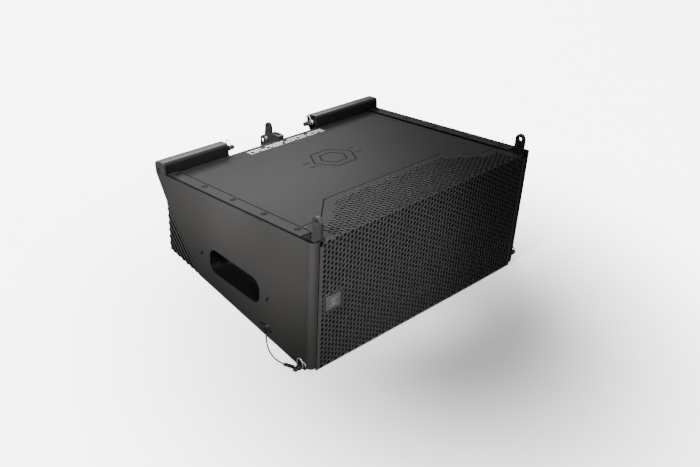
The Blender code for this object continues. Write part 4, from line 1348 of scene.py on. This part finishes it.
    def badge(self) -> None:
        """A plain badge in a sunk dark frame, with a neutral ring and two bars."""
        matrix = self.cabinet.front_frame() @ Matrix.Translation((self.badge_x, 0.0, self.badge_up))
        wide, tall = self.badge_wide, self.badge_tall
        opening = rounded(wide - 0.0008, tall - 0.0008, 0.0012, 4)
        rim = slab(rounded(wide + 0.0045, tall + 0.0045, 0.002, 4), -0.0006, -0.00005, "y", [opening])
        border = soften(put("badge_border", rim, matrix), 0.0002)
        dress(border, PALETTE.mesh_paint)
        well = put("badge_well", slab(rounded(wide, tall, 0.0012, 4), -0.0008, 0.0003, "y"), matrix)
        dress(soften(well, 0.0001), PALETTE.dark)
        face, relief = -0.0014, -0.0017
        outline = rounded(wide - 0.0042, tall - 0.0045, 0.0015, 4)
        plate = soften(put("badge_plate", slab(outline, face, -0.0003, "y"), matrix), 0.0004)
        dress(plate, PALETTE.badge, nodes=["front_badge"])
        bars = [
            (slab(rounded(0.016, 0.0014, 0.0006, 3), relief, face, "y"), Matrix.Translation((0, 0, lift)))
            for lift in (-0.0062, 0.0062)
        ]
        ring = slab(disc(0.0040, 32), relief, face, "y", [disc(0.0029, 32)])
        marks = put("badge_marks", joined([*bars, (ring, Matrix.Identity(4))]), matrix)
        dress(marks, PALETTE.badge_mark)

    def screws(self) -> None:
        """Small screws along the rear edge of the flange."""
        top = self.cabinet.top_frame()
        up = top.to_3x3() @ UP
        spots = []
        for sign in (-1, 1):
            for x, along in ((0.250, 0.0595), (0.175, 0.0885), (0.0775, 0.1166), (0.0, 0.1166)):
                if x or sign > 0:
                    spots.append((top @ Vector((sign * x, along, -self.cabinet.skin)), up))
        head = screw_head(0.0030, 0.0009, 0.0013)
        piece = self.repeater.place("grille_screws", head, spots, PALETTE.screw)
        dress(piece, PALETTE.screw)

    def build(self) -> None:
        """Builds the grille, whose flange has the panels' paint."""
        sheet = self.perforated()
        dress(sheet, PALETTE.mesh_paint, nodes=["grille"])
        sheet.data.materials.append(PALETTE.panel.build())
        for face in sheet.data.polygons:
            face.material_index = int(face.normal.z > 0.8)
        self.lining()
        self.seams()
        self.badge()
        self.screws()


# ------------------------------------------------------------------ side covers and handles
@dataclass
class SideCover:
    """One side cover with its handle pocket, its louvred corner and its screws."""

    cabinet: Cabinet
    repeater: Repeater
    side: Side
    handle_length: float = 0.147
    handle_height: float = 0.048
    handle_radius: float = 0.017
    handle_depth: float = 0.2145
    handle_up: float = 0.0968
    rim: float = 0.0016
    pin_bore: Point2 = (0.0159, 0.0131)
    pin_bore_radius: float = 0.0048
    ear_recess: Point2 = (0.4545, 0.0015)
    blades: int = 7
    blades_span: float = 0.072
    blade_start: float = 0.42
    blade_share: float = 0.34
    facet: tuple[Point2, Point2] = ((0.4470, 0.1030), (0.3330, 0.0))

    @property
    def sign(self) -> int:
        """Which way is outwards."""
        return self.side.value

    def outline(self) -> Outline:
        """Side view of the cover in the side frame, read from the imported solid.

        Returns:
            The outline.
        """
        node = frame["nodes"][f"side_cover_{self.side.word}"]
        face_x = self.sign * self.cabinet.half
        shape = bmesh.new()
        shape.from_mesh(node.data)
        bmesh.ops.remove_doubles(shape, verts=shape.verts, dist=MERGE)
        flat = {
            f
            for f in shape.faces
            if abs(f.calc_center_median().x - face_x) < 1e-5 and abs(f.normal.x) > 0.99
        }
        loops = []
        left = {e for f in flat for e in f.edges if sum(g in flat for g in e.link_faces) == 1}
        while left:
            edge = left.pop()
            loop = [edge.verts[0], edge.verts[1]]
            while True:
                onward = [e for e in loop[-1].link_edges if e in left]
                if not onward:
                    break
                left.remove(onward[0])
                loop.append(onward[0].other_vert(loop[-1]))
            loops.append([(v.co.y - self.cabinet.foot, v.co.z) for v in loop[:-1]])
        shape.free()
        return max(loops, key=lambda points: max(u for u, _ in points) - min(u for u, _ in points))

    def handle_outline(self, grow: float = 0.0, steps: int = 10) -> Outline:
        """The pocket's outline in the side frame.

        Args:
            grow: How far the outline is pushed outwards.
            steps: Chords in each corner.

        Returns:
            The outline.
        """
        local = rounded(
            self.handle_length + 2 * grow, self.handle_height + 2 * grow, self.handle_radius + grow, steps
        )
        turn = self.cabinet.front_frame()
        shift = Vector((0.0, self.handle_depth, self.handle_up))
        points = [turn @ (shift + Vector((0.0, u, v))) for u, v in local]
        return [(p.y - self.cabinet.foot, p.z) for p in points]

    def cover(self) -> None:
        """The cover's skin up to the louvred corner, with painted shade on the upward faces of its upper
        edge.
        """
        half = self.cabinet.half
        low, high = sorted((self.sign * (half - self.cabinet.cover), self.sign * half))
        matrix = self.cabinet.side_frame()
        skin = slab(self.outline(), low, high, "x", [self.handle_outline(self.rim)])
        plate = put(f"side_skin_{self.side.word}", skin, matrix)
        (ay, az), (by, bz) = self.facet
        run, rise = ay - by, az - bz
        far = 3.0
        corner = [
            (by - run * far, bz - rise * far),
            (ay + run * far, az + rise * far),
            (ay + run * far + rise, az + rise * far - run),
            (by - run * far + rise, bz - rise * far - run),
        ]
        cuts = (
            (corner, matrix),
            (disc(self.pin_bore_radius, 24, *self.pin_bore), matrix),
            (
                rounded(0.009, 0.014, 0.0044, 5),
                self.cabinet.top_frame() @ Matrix.Translation((0.0, *self.ear_recess)),
            ),
        )
        for outline, place in cuts:
            carve(plate, slab(outline, low - OVERCUT, high + OVERCUT, "x"), place)
        soften(plate, 0.0009, 3)
        dress(plate, PALETTE.shell, nodes=[f"side_cover_{self.side.word}"])
        # painted shade: the upward faces of the top edge get the black finish in place of their lit look
        darkened(plate, UP, 0.25, 0.2)

    def louvre(self, tree: Tree) -> None:
        """The shingled blades of the lower rear corner, with painted shade on their sides and in the gaps
        between them.

        Args:
            tree: The tree that repeats and trims the blades.
        """
        (ay, az), (by, bz) = self.facet
        run, rise = ay - by, az - bz
        length = math.hypot(run, rise)
        direction = Vector((0.0, run / length, rise / length))
        across = Vector((0.0, direction.z, -direction.y))
        step = self.blades_span / self.blades
        half, edge = self.cabinet.half, 0.0006
        out, base = self.sign * half, self.sign * (half - self.cabinet.cover)
        shoulder = self.sign * (half - edge)
        first, last = step * self.blade_start, step * (self.blade_start + self.blade_share)
        section = [(first, base), (first, shoulder), (first + edge, out)]
        section += [(last - edge, out), (last, shoulder), (last, base)]
        start = Vector((0.0, by, bz)) - direction * length
        rear = direction * (3 * length)
        loops = []
        for end in (start, start + rear):
            loops.append([end + across * u + Vector((x, 0.0, 0.0)) for u, x in section])
        matrix = self.cabinet.side_frame()
        piece = put(f"corner_louvre_{self.side.word}", lofted(loops), matrix)
        spare = 0.001
        low, high = sorted((base, out + self.sign * spare))
        boundary = put("louvre_boundary", slab(self.outline(), low - spare, high + spare, "x"), matrix)
        tree.apply(
            piece,
            {
                "Blades": self.blades,
                "First": (0.0, 0.0, 0.0),
                "Step": across * step,
                "Boundary": boundary,
                "Material": PALETTE.shell.build(),
            },
        )
        bpy.data.objects.remove(boundary, do_unlink=True)
        dress(smooth(piece, 12.0), PALETTE.shell)
        # painted shade: the blades' sides that face along the row get the black finish
        darkened(piece, across, 0.9)
        darkened(piece, -across, 0.9)
        # painted shade: a black sheet under the blades stands for the shade in the gaps between them
        near, far = start + across * FINE, start + across
        wing = [(p.y, p.z) for p in (near, near + rear, far + rear, far)]
        shallow = sorted((self.sign * (half - 0.0034), self.sign * (half - 0.0015)))
        painted_gap_shade = put(f"louvre_backing_{self.side.word}", slab(wing, *shallow, "x"), matrix)
        carve(painted_gap_shade, slab(self.outline(), low - spare, high + spare, "x"), matrix, keep=True)
        dress(painted_gap_shade, PALETTE.dark)

    def cup(self) -> None:
        """The handle's cup: a lip over the cover's edge, and walls that curve into the floor."""
        rim = 0.0006
        stations = (
            (0.0, self.rim - 0.0002),
            (rim, self.rim - 0.0004),
            (rim, 0.0003),
            (rim * 0.4, -0.0005),
            (-0.002, -0.0008),
            (-0.020, -0.0018),
            (-0.034, -0.0040),
            (-0.041, -0.0080),
            (-0.0445, -0.0125),
            (-0.0450, -0.0160),
        )
        outer = ((-0.0475, -0.0145), (-0.044, -0.0050), (-0.020, 0.0006), (-0.0042, 0.0010))
        loops = []
        for reach, grow in (*stations, *outer):
            x = self.sign * (self.cabinet.half + reach)
            loops.append([Vector((x, u, v)) for u, v in self.handle_outline(grow)])
        inner_count = len(stations)

        def make(shape: bmesh.types.BMesh) -> None:
            """Fills the bmesh.

            Args:
                shape: The empty bmesh.
            """
            rings = [[shape.verts.new(point) for point in loop] for loop in loops]
            order = list(zip(rings[:inner_count], rings[1:inner_count]))
            order += list(zip(rings[inner_count:], rings[inner_count + 1 :]))
            order.append((rings[-1], rings[0]))
            for one, other in order:
                for i in range(len(one)):
                    j = (i + 1) % len(one)
                    shape.faces.new((one[i], one[j], other[j], other[i]))
            shape.faces.new(rings[inner_count - 1])
            shape.faces.new(rings[inner_count])

        piece = put(f"handle_cup_skin_{self.side.word}", mesh_from("cup", make), self.cabinet.side_frame())
        smooth(piece, 50.0)
        dress(piece, PALETTE.cup, nodes=[f"handle_cup_{self.side.word}"])

    def screws(self) -> None:
        """The screws beside the handle and beside the lanyard's tab."""
        outward = Vector((self.sign, 0.0, 0.0))
        matrix = self.cabinet.side_frame()
        places = [(0.3235, 0.0635), (0.3275, 0.0575), (0.1255, 0.0865), (0.1290, 0.0800)]
        places += [(0.137, 0.0205), (0.109, 0.019)]
        x = self.sign * (self.cabinet.half - 0.0001)
        spots = [(matrix @ Vector((x, y, z)), outward) for y, z in places]
        piece = self.repeater.place(
            f"side_screws_{self.side.word}", screw_head(0.0023, 0.0007, 0.0011), spots, PALETTE.dark
        )
        dress(piece, PALETTE.dark)

    def build(self, louvre: Tree) -> None:
        """Builds the side.

        Args:
            louvre: The tree for the corner's blades.
        """
        self.cover()
        self.louvre(louvre)
        self.cup()
        self.screws()
        bolt = soften(copy_of_node(f"rear_bar_bolt_{self.side.word}"), 0.0002)
        dress(bolt, PALETTE.screw, nodes=[f"rear_bar_bolt_{self.side.word}"])


# ------------------------------------------------------------------ panels and rails
@dataclass
class Panels:
    """Top, bottom, rear and inner panels with the rails, their screws and the marks on the top."""

    cabinet: Cabinet
    repeater: Repeater
    rail_x: float = 0.267
    rail_first: float = 0.0605
    rail_step: float = 0.089
    rail_screws: int = 5
    well_radius: float = 0.0056
    well_deep: float = 0.0014
    head: float = 0.0013
    seam: tuple[float, float] = (0.2569, 0.2588)
    mark_along: float = 0.270
    mark_line: float = 0.0027

    def rail_spots(self, sign: int) -> list[Point2]:
        """Places of a rail's screws in the top frame."""
        return [(sign * self.rail_x, self.rail_first + self.rail_step * i) for i in range(self.rail_screws)]

    def rails(self) -> None:
        """The top rails with counterbored screws, painted shade in the counterbores and sockets, and the
        runners below.
        """
        top = self.cabinet.top_frame()
        up = top.to_3x3() @ UP
        spots = []
        for side in Side:
            rail = copy_of_node(f"top_rail_{side.word}")
            cuts = []
            for x, along in self.rail_spots(side.value):
                well = slab(disc(self.well_radius, 28), -self.well_deep, OVERCUT, "z")
                cuts.append((well, Matrix.Translation((x, along, 0.0))))
                spots.append((top @ Vector((x, along, -self.well_deep)), up))
            low, high = sorted((side.value * 0.2807, side.value * 0.2826))
            trim = slab([(low, -0.1), (high, -0.1), (high, 0.6), (low, 0.6)], -OVERCUT, OVERCUT, "z")
            cuts.append((trim, Matrix.Identity(4)))
            carve(rail, joined(cuts), top)
            soften(rail, 0.0003, 2)
            dress(rail, PALETTE.panel, nodes=[f"top_rail_{side.word}"])
            name = f"bottom_runner_{side.word}"
            softened(name, PALETTE.moulding, 0.0006, "cabinet")
        keys = [(spot + normal * (self.head + 0.00001), normal) for spot, normal in spots]
        # painted shade: dark discs fill the counterbores and dark hexagons cover the screws' sockets
        for name, shape, places, finish in (
            ("rail_wells", slab(disc(self.well_radius - 0.0001, 20), 0.0, 0.0011, "z"), spots, PALETTE.dark),
            ("rail_screws", screw_head(0.0039, self.head, 0.0019), spots, PALETTE.panel),
            ("rail_keys", slab(disc(0.0016, 6), 0.0, 0.00006, "z"), keys, PALETTE.dark),
        ):
            dress(self.repeater.place(name, shape, places, finish), finish)
        strips = []
        start, end = 0.040, self.cabinet.depth - 0.0005
        for sign in (-1, 1):
            near, far = (sign * x for x in self.seam)
            strip = slab([(near, start), (far, start), (far, end), (near, end)], -0.0023, 0.00012, "z")
            strips.append((strip, top))
        dress(put("rail_seams", joined(strips)), PALETTE.dark)

    def mark(self) -> None:
        """The engraved mark, as thin dark lines: two plain nested hexagons with bars on each side."""
        middle = Vector((0.0, self.mark_along, 0.0))
        low, high = -self.cabinet.skin - 0.0002, -self.cabinet.skin + 0.00006
        turns = [math.pi * i / 3 for i in range(6)]
        lines = []
        for radius in (0.050, 0.030):
            outer, inner = (
                [(size * math.cos(t), size * math.sin(t)) for t in turns]
                for size in (radius, radius - self.mark_line)
            )
            lines.append((slab(outer, low, high, "z", [inner]), Matrix.Translation(middle)))
        for sign in (-1, 1):
            for shift in (-0.012, 0.012):
                bar = slab(rounded(0.018, 0.0024, 0.0007, 2), low, high, "z")
                lines.append((bar, Matrix.Translation(middle + Vector((sign * 0.060, shift, 0.0)))))
        piece = put("engraved_mark", joined(lines), self.cabinet.top_frame())
        dress(piece, PALETTE.dark)

    def top_panel(self) -> None:
        """The top panel, with softened edges."""
        panel = soften(copy_of_node("top_panel"), 0.0006, 2)
        dress(panel, PALETTE.panel, nodes=["top_panel"])

    def band(self) -> None:
        """Three printed rows of plain white dashes near the rear edge."""
        top = self.cabinet.top_frame()
        lift, length = -self.cabinet.skin, 0.200
        rows = ((0.4195, 0.0050, 21), (0.4120, 0.0032, 30), (0.4060, 0.0022, 38))
        dashes = []
        for row, (along, height, count) in enumerate(rows):
            width = length / count
            for i in range(count):
                if (i * 7 + row * 3) % 6 == 4:
                    continue
                long = width * (0.84 - 0.2 * ((i * 5 + row) % 3 == 0))
                dash = slab(rounded(long, height, 0.0005, 2), lift, lift + 0.00008, "z")
                x = width * (i + 0.5) - 0.102
                dashes.append((dash, Matrix.Translation((x, along, 0.0))))
        piece = put("printed_band", joined(dashes), top)
        dress(piece, PALETTE.print_white)

    def build(self) -> None:
        """Builds the panels."""
        self.rails()
        self.top_panel()
        self.mark()
        self.band()
        for node in ("bottom_panel", "rear_panel"):
            softened(node, PALETTE.panel, 0.0008, "cabinet")
        for node in ("side_wall_left", "side_wall_right", "baffle", "window_brace"):
            paint_node(node, PALETTE.inner)


# ------------------------------------------------------------------ rigging
@dataclass
class LockingPin:
    """A quick-release pin with its knob, bail, button and locking balls."""

    name: str
    sign: int
    shaft: float = 0.0040
    bail_wire: float = 0.0011
    bail_half: float = 0.0078
    bail_reach: float = 0.018
    bail_place: float = 0.0100
    collar_end: float = 0.0031
    knob_end: float = 0.0215
    button_end: float = 0.0240
    ball: float = 0.0014

    @property
    def seat(self) -> Vector:
        """The middle of the face that the pin seats on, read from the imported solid.

        Returns:
            The point, in world space.
        """
        low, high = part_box(self.name)
        x = low.x + self.knob_end if self.sign < 0 else high.x - self.knob_end
        return Vector((x, (low.y + high.y) / 2, (low.z + high.z) / 2))

    def turned_body(self) -> bpy.types.Mesh:
        """Shaft, flange, grooved body and knob.

        Returns:
            The body as a mesh.
        """
        low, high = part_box(self.name)
        tip = -(high.x - low.x - self.knob_end)
        bore = 0.0033
        profile = [
            (0.0, tip),
            (0.0022, tip),
            (0.0030, tip + 0.0005),
            (self.shaft - 0.0002, tip + 0.0022),
            (self.shaft, tip + 0.0032),
            (self.shaft, 0.0003),
            (0.0058, 0.0003),
            (0.0062, 0.0007),
            (0.0062, 0.0020),
            (0.0058, 0.0024),
            (self.shaft, 0.0030),
            (self.shaft, 0.0058),
            (0.0049, 0.0062),
            (0.0052, 0.0068),
            (0.0052, 0.0138),
            (0.0049, 0.0144),
            (0.0040, 0.0152),
            (0.0040, 0.0170),
            (0.0044, 0.0176),
            (0.0047, 0.0181),
            (0.0047, 0.0207),
            (0.0043, self.knob_end),
            (bore + 0.0003, self.knob_end),
            (bore, 0.0211),
            (bore, 0.0115),
            (0.0, 0.0115),
        ]
        return turned([(radius, self.sign * along) for radius, along in profile], 40, "x")

    def build(self) -> None:
        """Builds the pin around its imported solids."""
        seat = self.seat
        place = Matrix.Translation(seat)
        body = smooth(put(f"{self.name}_body", self.turned_body(), place), 30.0)
        dress(body, PALETTE.pin, self.name, [self.name])
        body.data.materials.append(PALETTE.grip.build())
        for face in body.data.polygons:
            face.material_index = int(self.sign * (face.center.x - seat.x) > self.collar_end)
        balls = []
        low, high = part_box(self.name)
        tip = -(high.x - low.x - self.knob_end) + 0.005
        for turn in (0.0, math.pi):
            ball = bmesh.new()
            bmesh.ops.create_icosphere(ball, subdivisions=2, radius=self.ball)
            mesh = bpy.data.meshes.new("ball")
            ball.to_mesh(mesh)
            ball.free()
            spot = Vector((self.sign * tip, 0.0, (self.shaft - 0.0007) * math.cos(turn)))
            balls.append((mesh, Matrix.Translation(spot)))
        pair = smooth(put(f"{self.name}_balls", joined(balls), place), 60.0)
        dress(pair, PALETTE.pin, self.name)
        lean = CABINET.front_frame().to_3x3().to_4x4()
        inside = 0.0040
        loop = arc((0.0, self.bail_reach - self.bail_half), self.bail_half, 0, 180, 20)
        side = [(inside, 0.0), (self.bail_half - 0.0012, 0.0), (self.bail_half - 0.0003, 0.0006)]
        side += [(self.bail_half, 0.0018), *loop, (-self.bail_half, 0.0018)]
        side += [(0.0003 - self.bail_half, 0.0006), (0.0012 - self.bail_half, 0.0), (-inside, 0.0)]
        line = [Vector((self.sign * self.bail_place, u, v)) for u, v in side]
        bail = put(f"{self.name}_bail_wire", tube(line, self.bail_wire, 12), place @ lean)
        dress(smooth(bail, 50.0), PALETTE.pin, f"{self.name}_bail", [f"{self.name}_bail"])
        top = self.button_end
        cap = [
            (0.0, 0.0142),
            (0.0030, 0.0142),
            (0.0030, top - 0.0011),
            (0.0026, top - 0.0004),
            (0.0016, top - 0.0001),
            (0.0, top),
        ]
        button = turned([(radius, self.sign * along) for radius, along in cap], 28, "x")
        made = smooth(put(f"{self.name}_button_cap", button, place), 45.0)
        button_node = f"{self.name}_button"
        dress(made, PALETTE.moulding, button_node, [button_node])


@dataclass
class Rigging:
    """Corner channels, links, rear bars and the rear fork."""

    cabinet: Cabinet

    def build(self) -> None:
        """Builds the rigging."""
        for side in Side:
            word = side.word
            name = f"front_channel_{word}"
            channel = softened(name, PALETTE.shell, 0.0004, "cabinet")
            # painted shade: the channel's upward faces get the black finish in place of their lit rims
            darkened(channel, UP, 0.3, 0.2)
            softened(f"front_link_{word}", PALETTE.link, 0.0006, f"front_link_{word}")
            softened(f"rear_bar_{word}", PALETTE.bar, 0.0008, "cabinet")
        softened("rear_bracket", PALETTE.steel, 0.0005, "cabinet")
        softened("rear_link", PALETTE.steel, 0.0007, "rear_link")
        softened("rear_link_pivot", PALETTE.pin, 0.0004, "cabinet")
        for name, sign in (
            ("front_pin_left", -1),
            ("front_pin_right", 1),
            ("rear_pin_left", 1),
            ("rear_pin_right", -1),
        ):
            LockingPin(name, sign).build()


# ------------------------------------------------------------------ lanyard
@dataclass
class Lanyard:
    """The coated wire, its ferrule, the eye round the pin and the tab on the side."""

    cabinet: Cabinet
    repeater: Repeater
    radius: float = 0.0012
    route: tuple[tuple[float, float, float], ...] = (
        (-0.2884, 0.1200, 0.0152),
        (-0.2884, 0.1198, 0.0110),
        (-0.2893, 0.1175, 0.0070),
        (-0.2918, 0.1133, 0.0040),
        (-0.2950, 0.1086, 0.0022),
        (-0.3002, 0.0993, 0.0013),
        (-0.3050, 0.0889, 0.0013),
        (-0.3085, 0.0759, 0.0013),
        (-0.3097, 0.0645, 0.0013),
        (-0.3084, 0.0548, 0.0016),
        (-0.3065, 0.0449, 0.0030),
    )
    end: tuple[float, float, float] = (-0.2994, 0.0278, 0.0055)
    barrel_apart: float = 0.0019
    groove: float = 0.0044
    eye_radius: float = 0.0062

    def curve(self) -> list[Vector]:
        """A smooth line through the route.

        Returns:
            Its points, in world space.
        """
        matrix = self.cabinet.side_frame()
        points = [matrix @ Vector(p) for p in self.route]
        ends = [points[0] * 2 - points[1], *points, points[-1] * 2 - points[-2]]
        line: list[Vector] = []
        for p0, p1, p2, p3 in zip(ends, ends[1:], ends[2:], ends[3:]):
            for i in range(8):
                t = i / 8
                line.append(
                    0.5
                    * (
                        2 * p1
                        + (p2 - p0) * t
                        + (2 * p0 - 5 * p1 + 4 * p2 - p3) * t**2
                        + (3 * p1 - p0 - 3 * p2 + p3) * t**3
                    )
                )
        return line + [points[-1]]

    def build(self) -> None:
        """Builds the lanyard."""
        line = self.curve()
        wire = smooth(put("lanyard_wire", tube(line, self.radius, 12)), 60.0)
        matrix = self.cabinet.side_frame()
        start, end = line[-1], matrix @ Vector(self.end)
        along = (end - start).normalized()
        reach = (end - start).length
        turn = along.to_track_quat("Y", "Z").to_matrix().to_4x4()
        tip, lip, crest, valley = 0.0014, 0.0019, 0.0021, 0.0018
        profile = [(0.0, tip), (0.03, lip), (0.10, crest), (0.30, crest), (0.34, valley), (0.40, valley)]
        profile += [(0.44, crest), (0.62, crest), (0.66, valley), (0.72, valley), (0.76, crest)]
        profile += [(0.92, crest), (0.98, lip), (1.0, tip)]
        barrels = []
        for shift in (-self.barrel_apart, self.barrel_apart):
            rings = [
                [Vector((u, share * reach, v)) for u, v in disc(size, 20, shift, 0.0)]
                for share, size in profile
            ]
            barrels.append((lofted(rings), Matrix.Identity(4)))
        web = slab(rounded(0.0040, 0.0030, 0.0010, 3), 0.0006, reach - 0.0006, "y")
        barrels.append((web, Matrix.Identity(4)))
        place = Matrix.Translation(start + along * FINE) @ turn
        sleeve = put("lanyard_sleeve", joined(barrels), place)
        dress(smooth(sleeve, 45.0), PALETTE.ferrule, "front_pin_left", ["lanyard_ferrule"])
        eye = smooth(put("lanyard_loop", tube(self.loop(end, along), 0.0009, 10)), 60.0)
        dress(eye, PALETTE.rubber, "front_pin_left", ["lanyard_eye"])
        wire.data.materials.append(PALETTE.rubber.build())
        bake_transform(wire)
        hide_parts("lanyard")
        LOG.info("%s: %d faces", wire.name, len(wire.data.polygons))
        softened("lanyard_tab", PALETTE.steel, 0.0005, "cabinet")
        hold = matrix @ Vector((-self.cabinet.half - 0.0033, 0.1200, 0.0255))
        spot = (hold, Vector((-1.0, 0.0, 0.0)))
        head = screw_head(0.0034, 0.0016, 0.0015)
        screw = self.repeater.place("tab_screw", head, [spot], PALETTE.link)
        dress(screw, PALETTE.link)

    def loop(self, end: Vector, along: Vector) -> list[Vector]:
        """The eye's line: out of the sleeve, round the pin's groove and back.

        Args:
            end: The sleeve's far end.
            along: The direction in which the sleeve points.

        Returns:
            The points of the line.
        """
        seat = LockingPin("front_pin_left", -1).seat
        neck = seat + Vector((-self.groove, 0.0, 0.0))
        tail = end + along * 0.0004
        away = tail - neck
        base = math.atan2(away.z, away.y)
        opening = math.radians(26)
        points = [tail, tail + along * 0.0022]
        for i in range(25):
            angle = base + opening + (2 * math.pi - 2 * opening) * i / 24
            spoke = Vector((0.0, math.cos(angle), math.sin(angle)))
            points.append(neck + spoke * self.eye_radius)
        return points


# ------------------------------------------------------------------ rear plate and insides
@dataclass
class RearPlate:
    """The input plate with its sockets and screws."""

    cabinet: Cabinet
    repeater: Repeater
    middle: float = 0.112
    screw_x: float = 0.053
    screw_up: float = 0.024
    socket_x: float = 0.022
    socket_screw: float = 0.0130

    def build(self) -> None:
        """Builds the plate."""
        softened("input_plate", PALETTE.steel, 0.0005, "cabinet")
        front = self.cabinet.front_frame()
        outward = front.to_3x3() @ Vector((0.0, 1.0, 0.0))
        face = self.cabinet.back + 0.0027
        spots = []
        for x in (-self.screw_x, self.screw_x):
            for up in (self.middle - self.screw_up, self.middle + self.screw_up):
                spots.append((front @ Vector((x, face, up)), outward))
        for x in (-self.socket_x, self.socket_x):
            for turn in (math.radians(45), math.radians(225)):
                dx, dz = self.socket_screw * math.cos(turn), self.socket_screw * math.sin(turn)
                spot = Vector((x + dx, self.cabinet.back + 0.005, self.middle + dz))
                spots.append((front @ spot, outward))
        head = screw_head(0.0018, 0.0010, 0.0008)
        screws = self.repeater.place("plate_screws", head, spots, PALETTE.screw)
        dress(screws, PALETTE.screw)
        for use in ("in", "link"):
            softened(f"speaker_socket_{use}", PALETTE.moulding, 0.0003, "cabinet")


class Insides:
    """Finishes for the pieces that the grille and the panels hide."""

    FINISHES: dict[str, Finish] = {
        "woofer_basket": PALETTE.steel,
        "woofer_surround": PALETTE.rubber,
        "woofer_cone": PALETTE.cone,
        "woofer_magnet": PALETTE.magnet,
    }

    def build(self) -> None:
        """Paints the hidden pieces."""
        for side in Side:
            for part, finish in self.FINISHES.items():
                paint_node(f"{side.word}_{part}", finish)
        paint_node("waveguide", PALETTE.moulding)
        paint_node("compression_driver", PALETTE.magnet)
        paint_node("crossover_board", PALETTE.board)
        paint_node("crossover_coil", PALETTE.copper)


CABINET = Cabinet(foot=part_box("bottom_runner_left")[1].y - Cabinet.depth)


def main() -> None:
    """Builds the whole loudspeaker and its studio, in order."""
    logging.basicConfig(level=logging.INFO, format="%(message)s")
    repeater = Repeater()
    louvre = Louvre().tree
    Studio(CABINET).build()
    Lanyard(CABINET, repeater).build()
    Grille(CABINET, repeater).build()
    for side in Side:
        SideCover(CABINET, repeater, side).build(louvre)
    Panels(CABINET, repeater).build()
    Rigging(CABINET).build()
    RearPlate(CABINET, repeater).build()
    Insides().build()


if __name__ == "__main__":
    main()
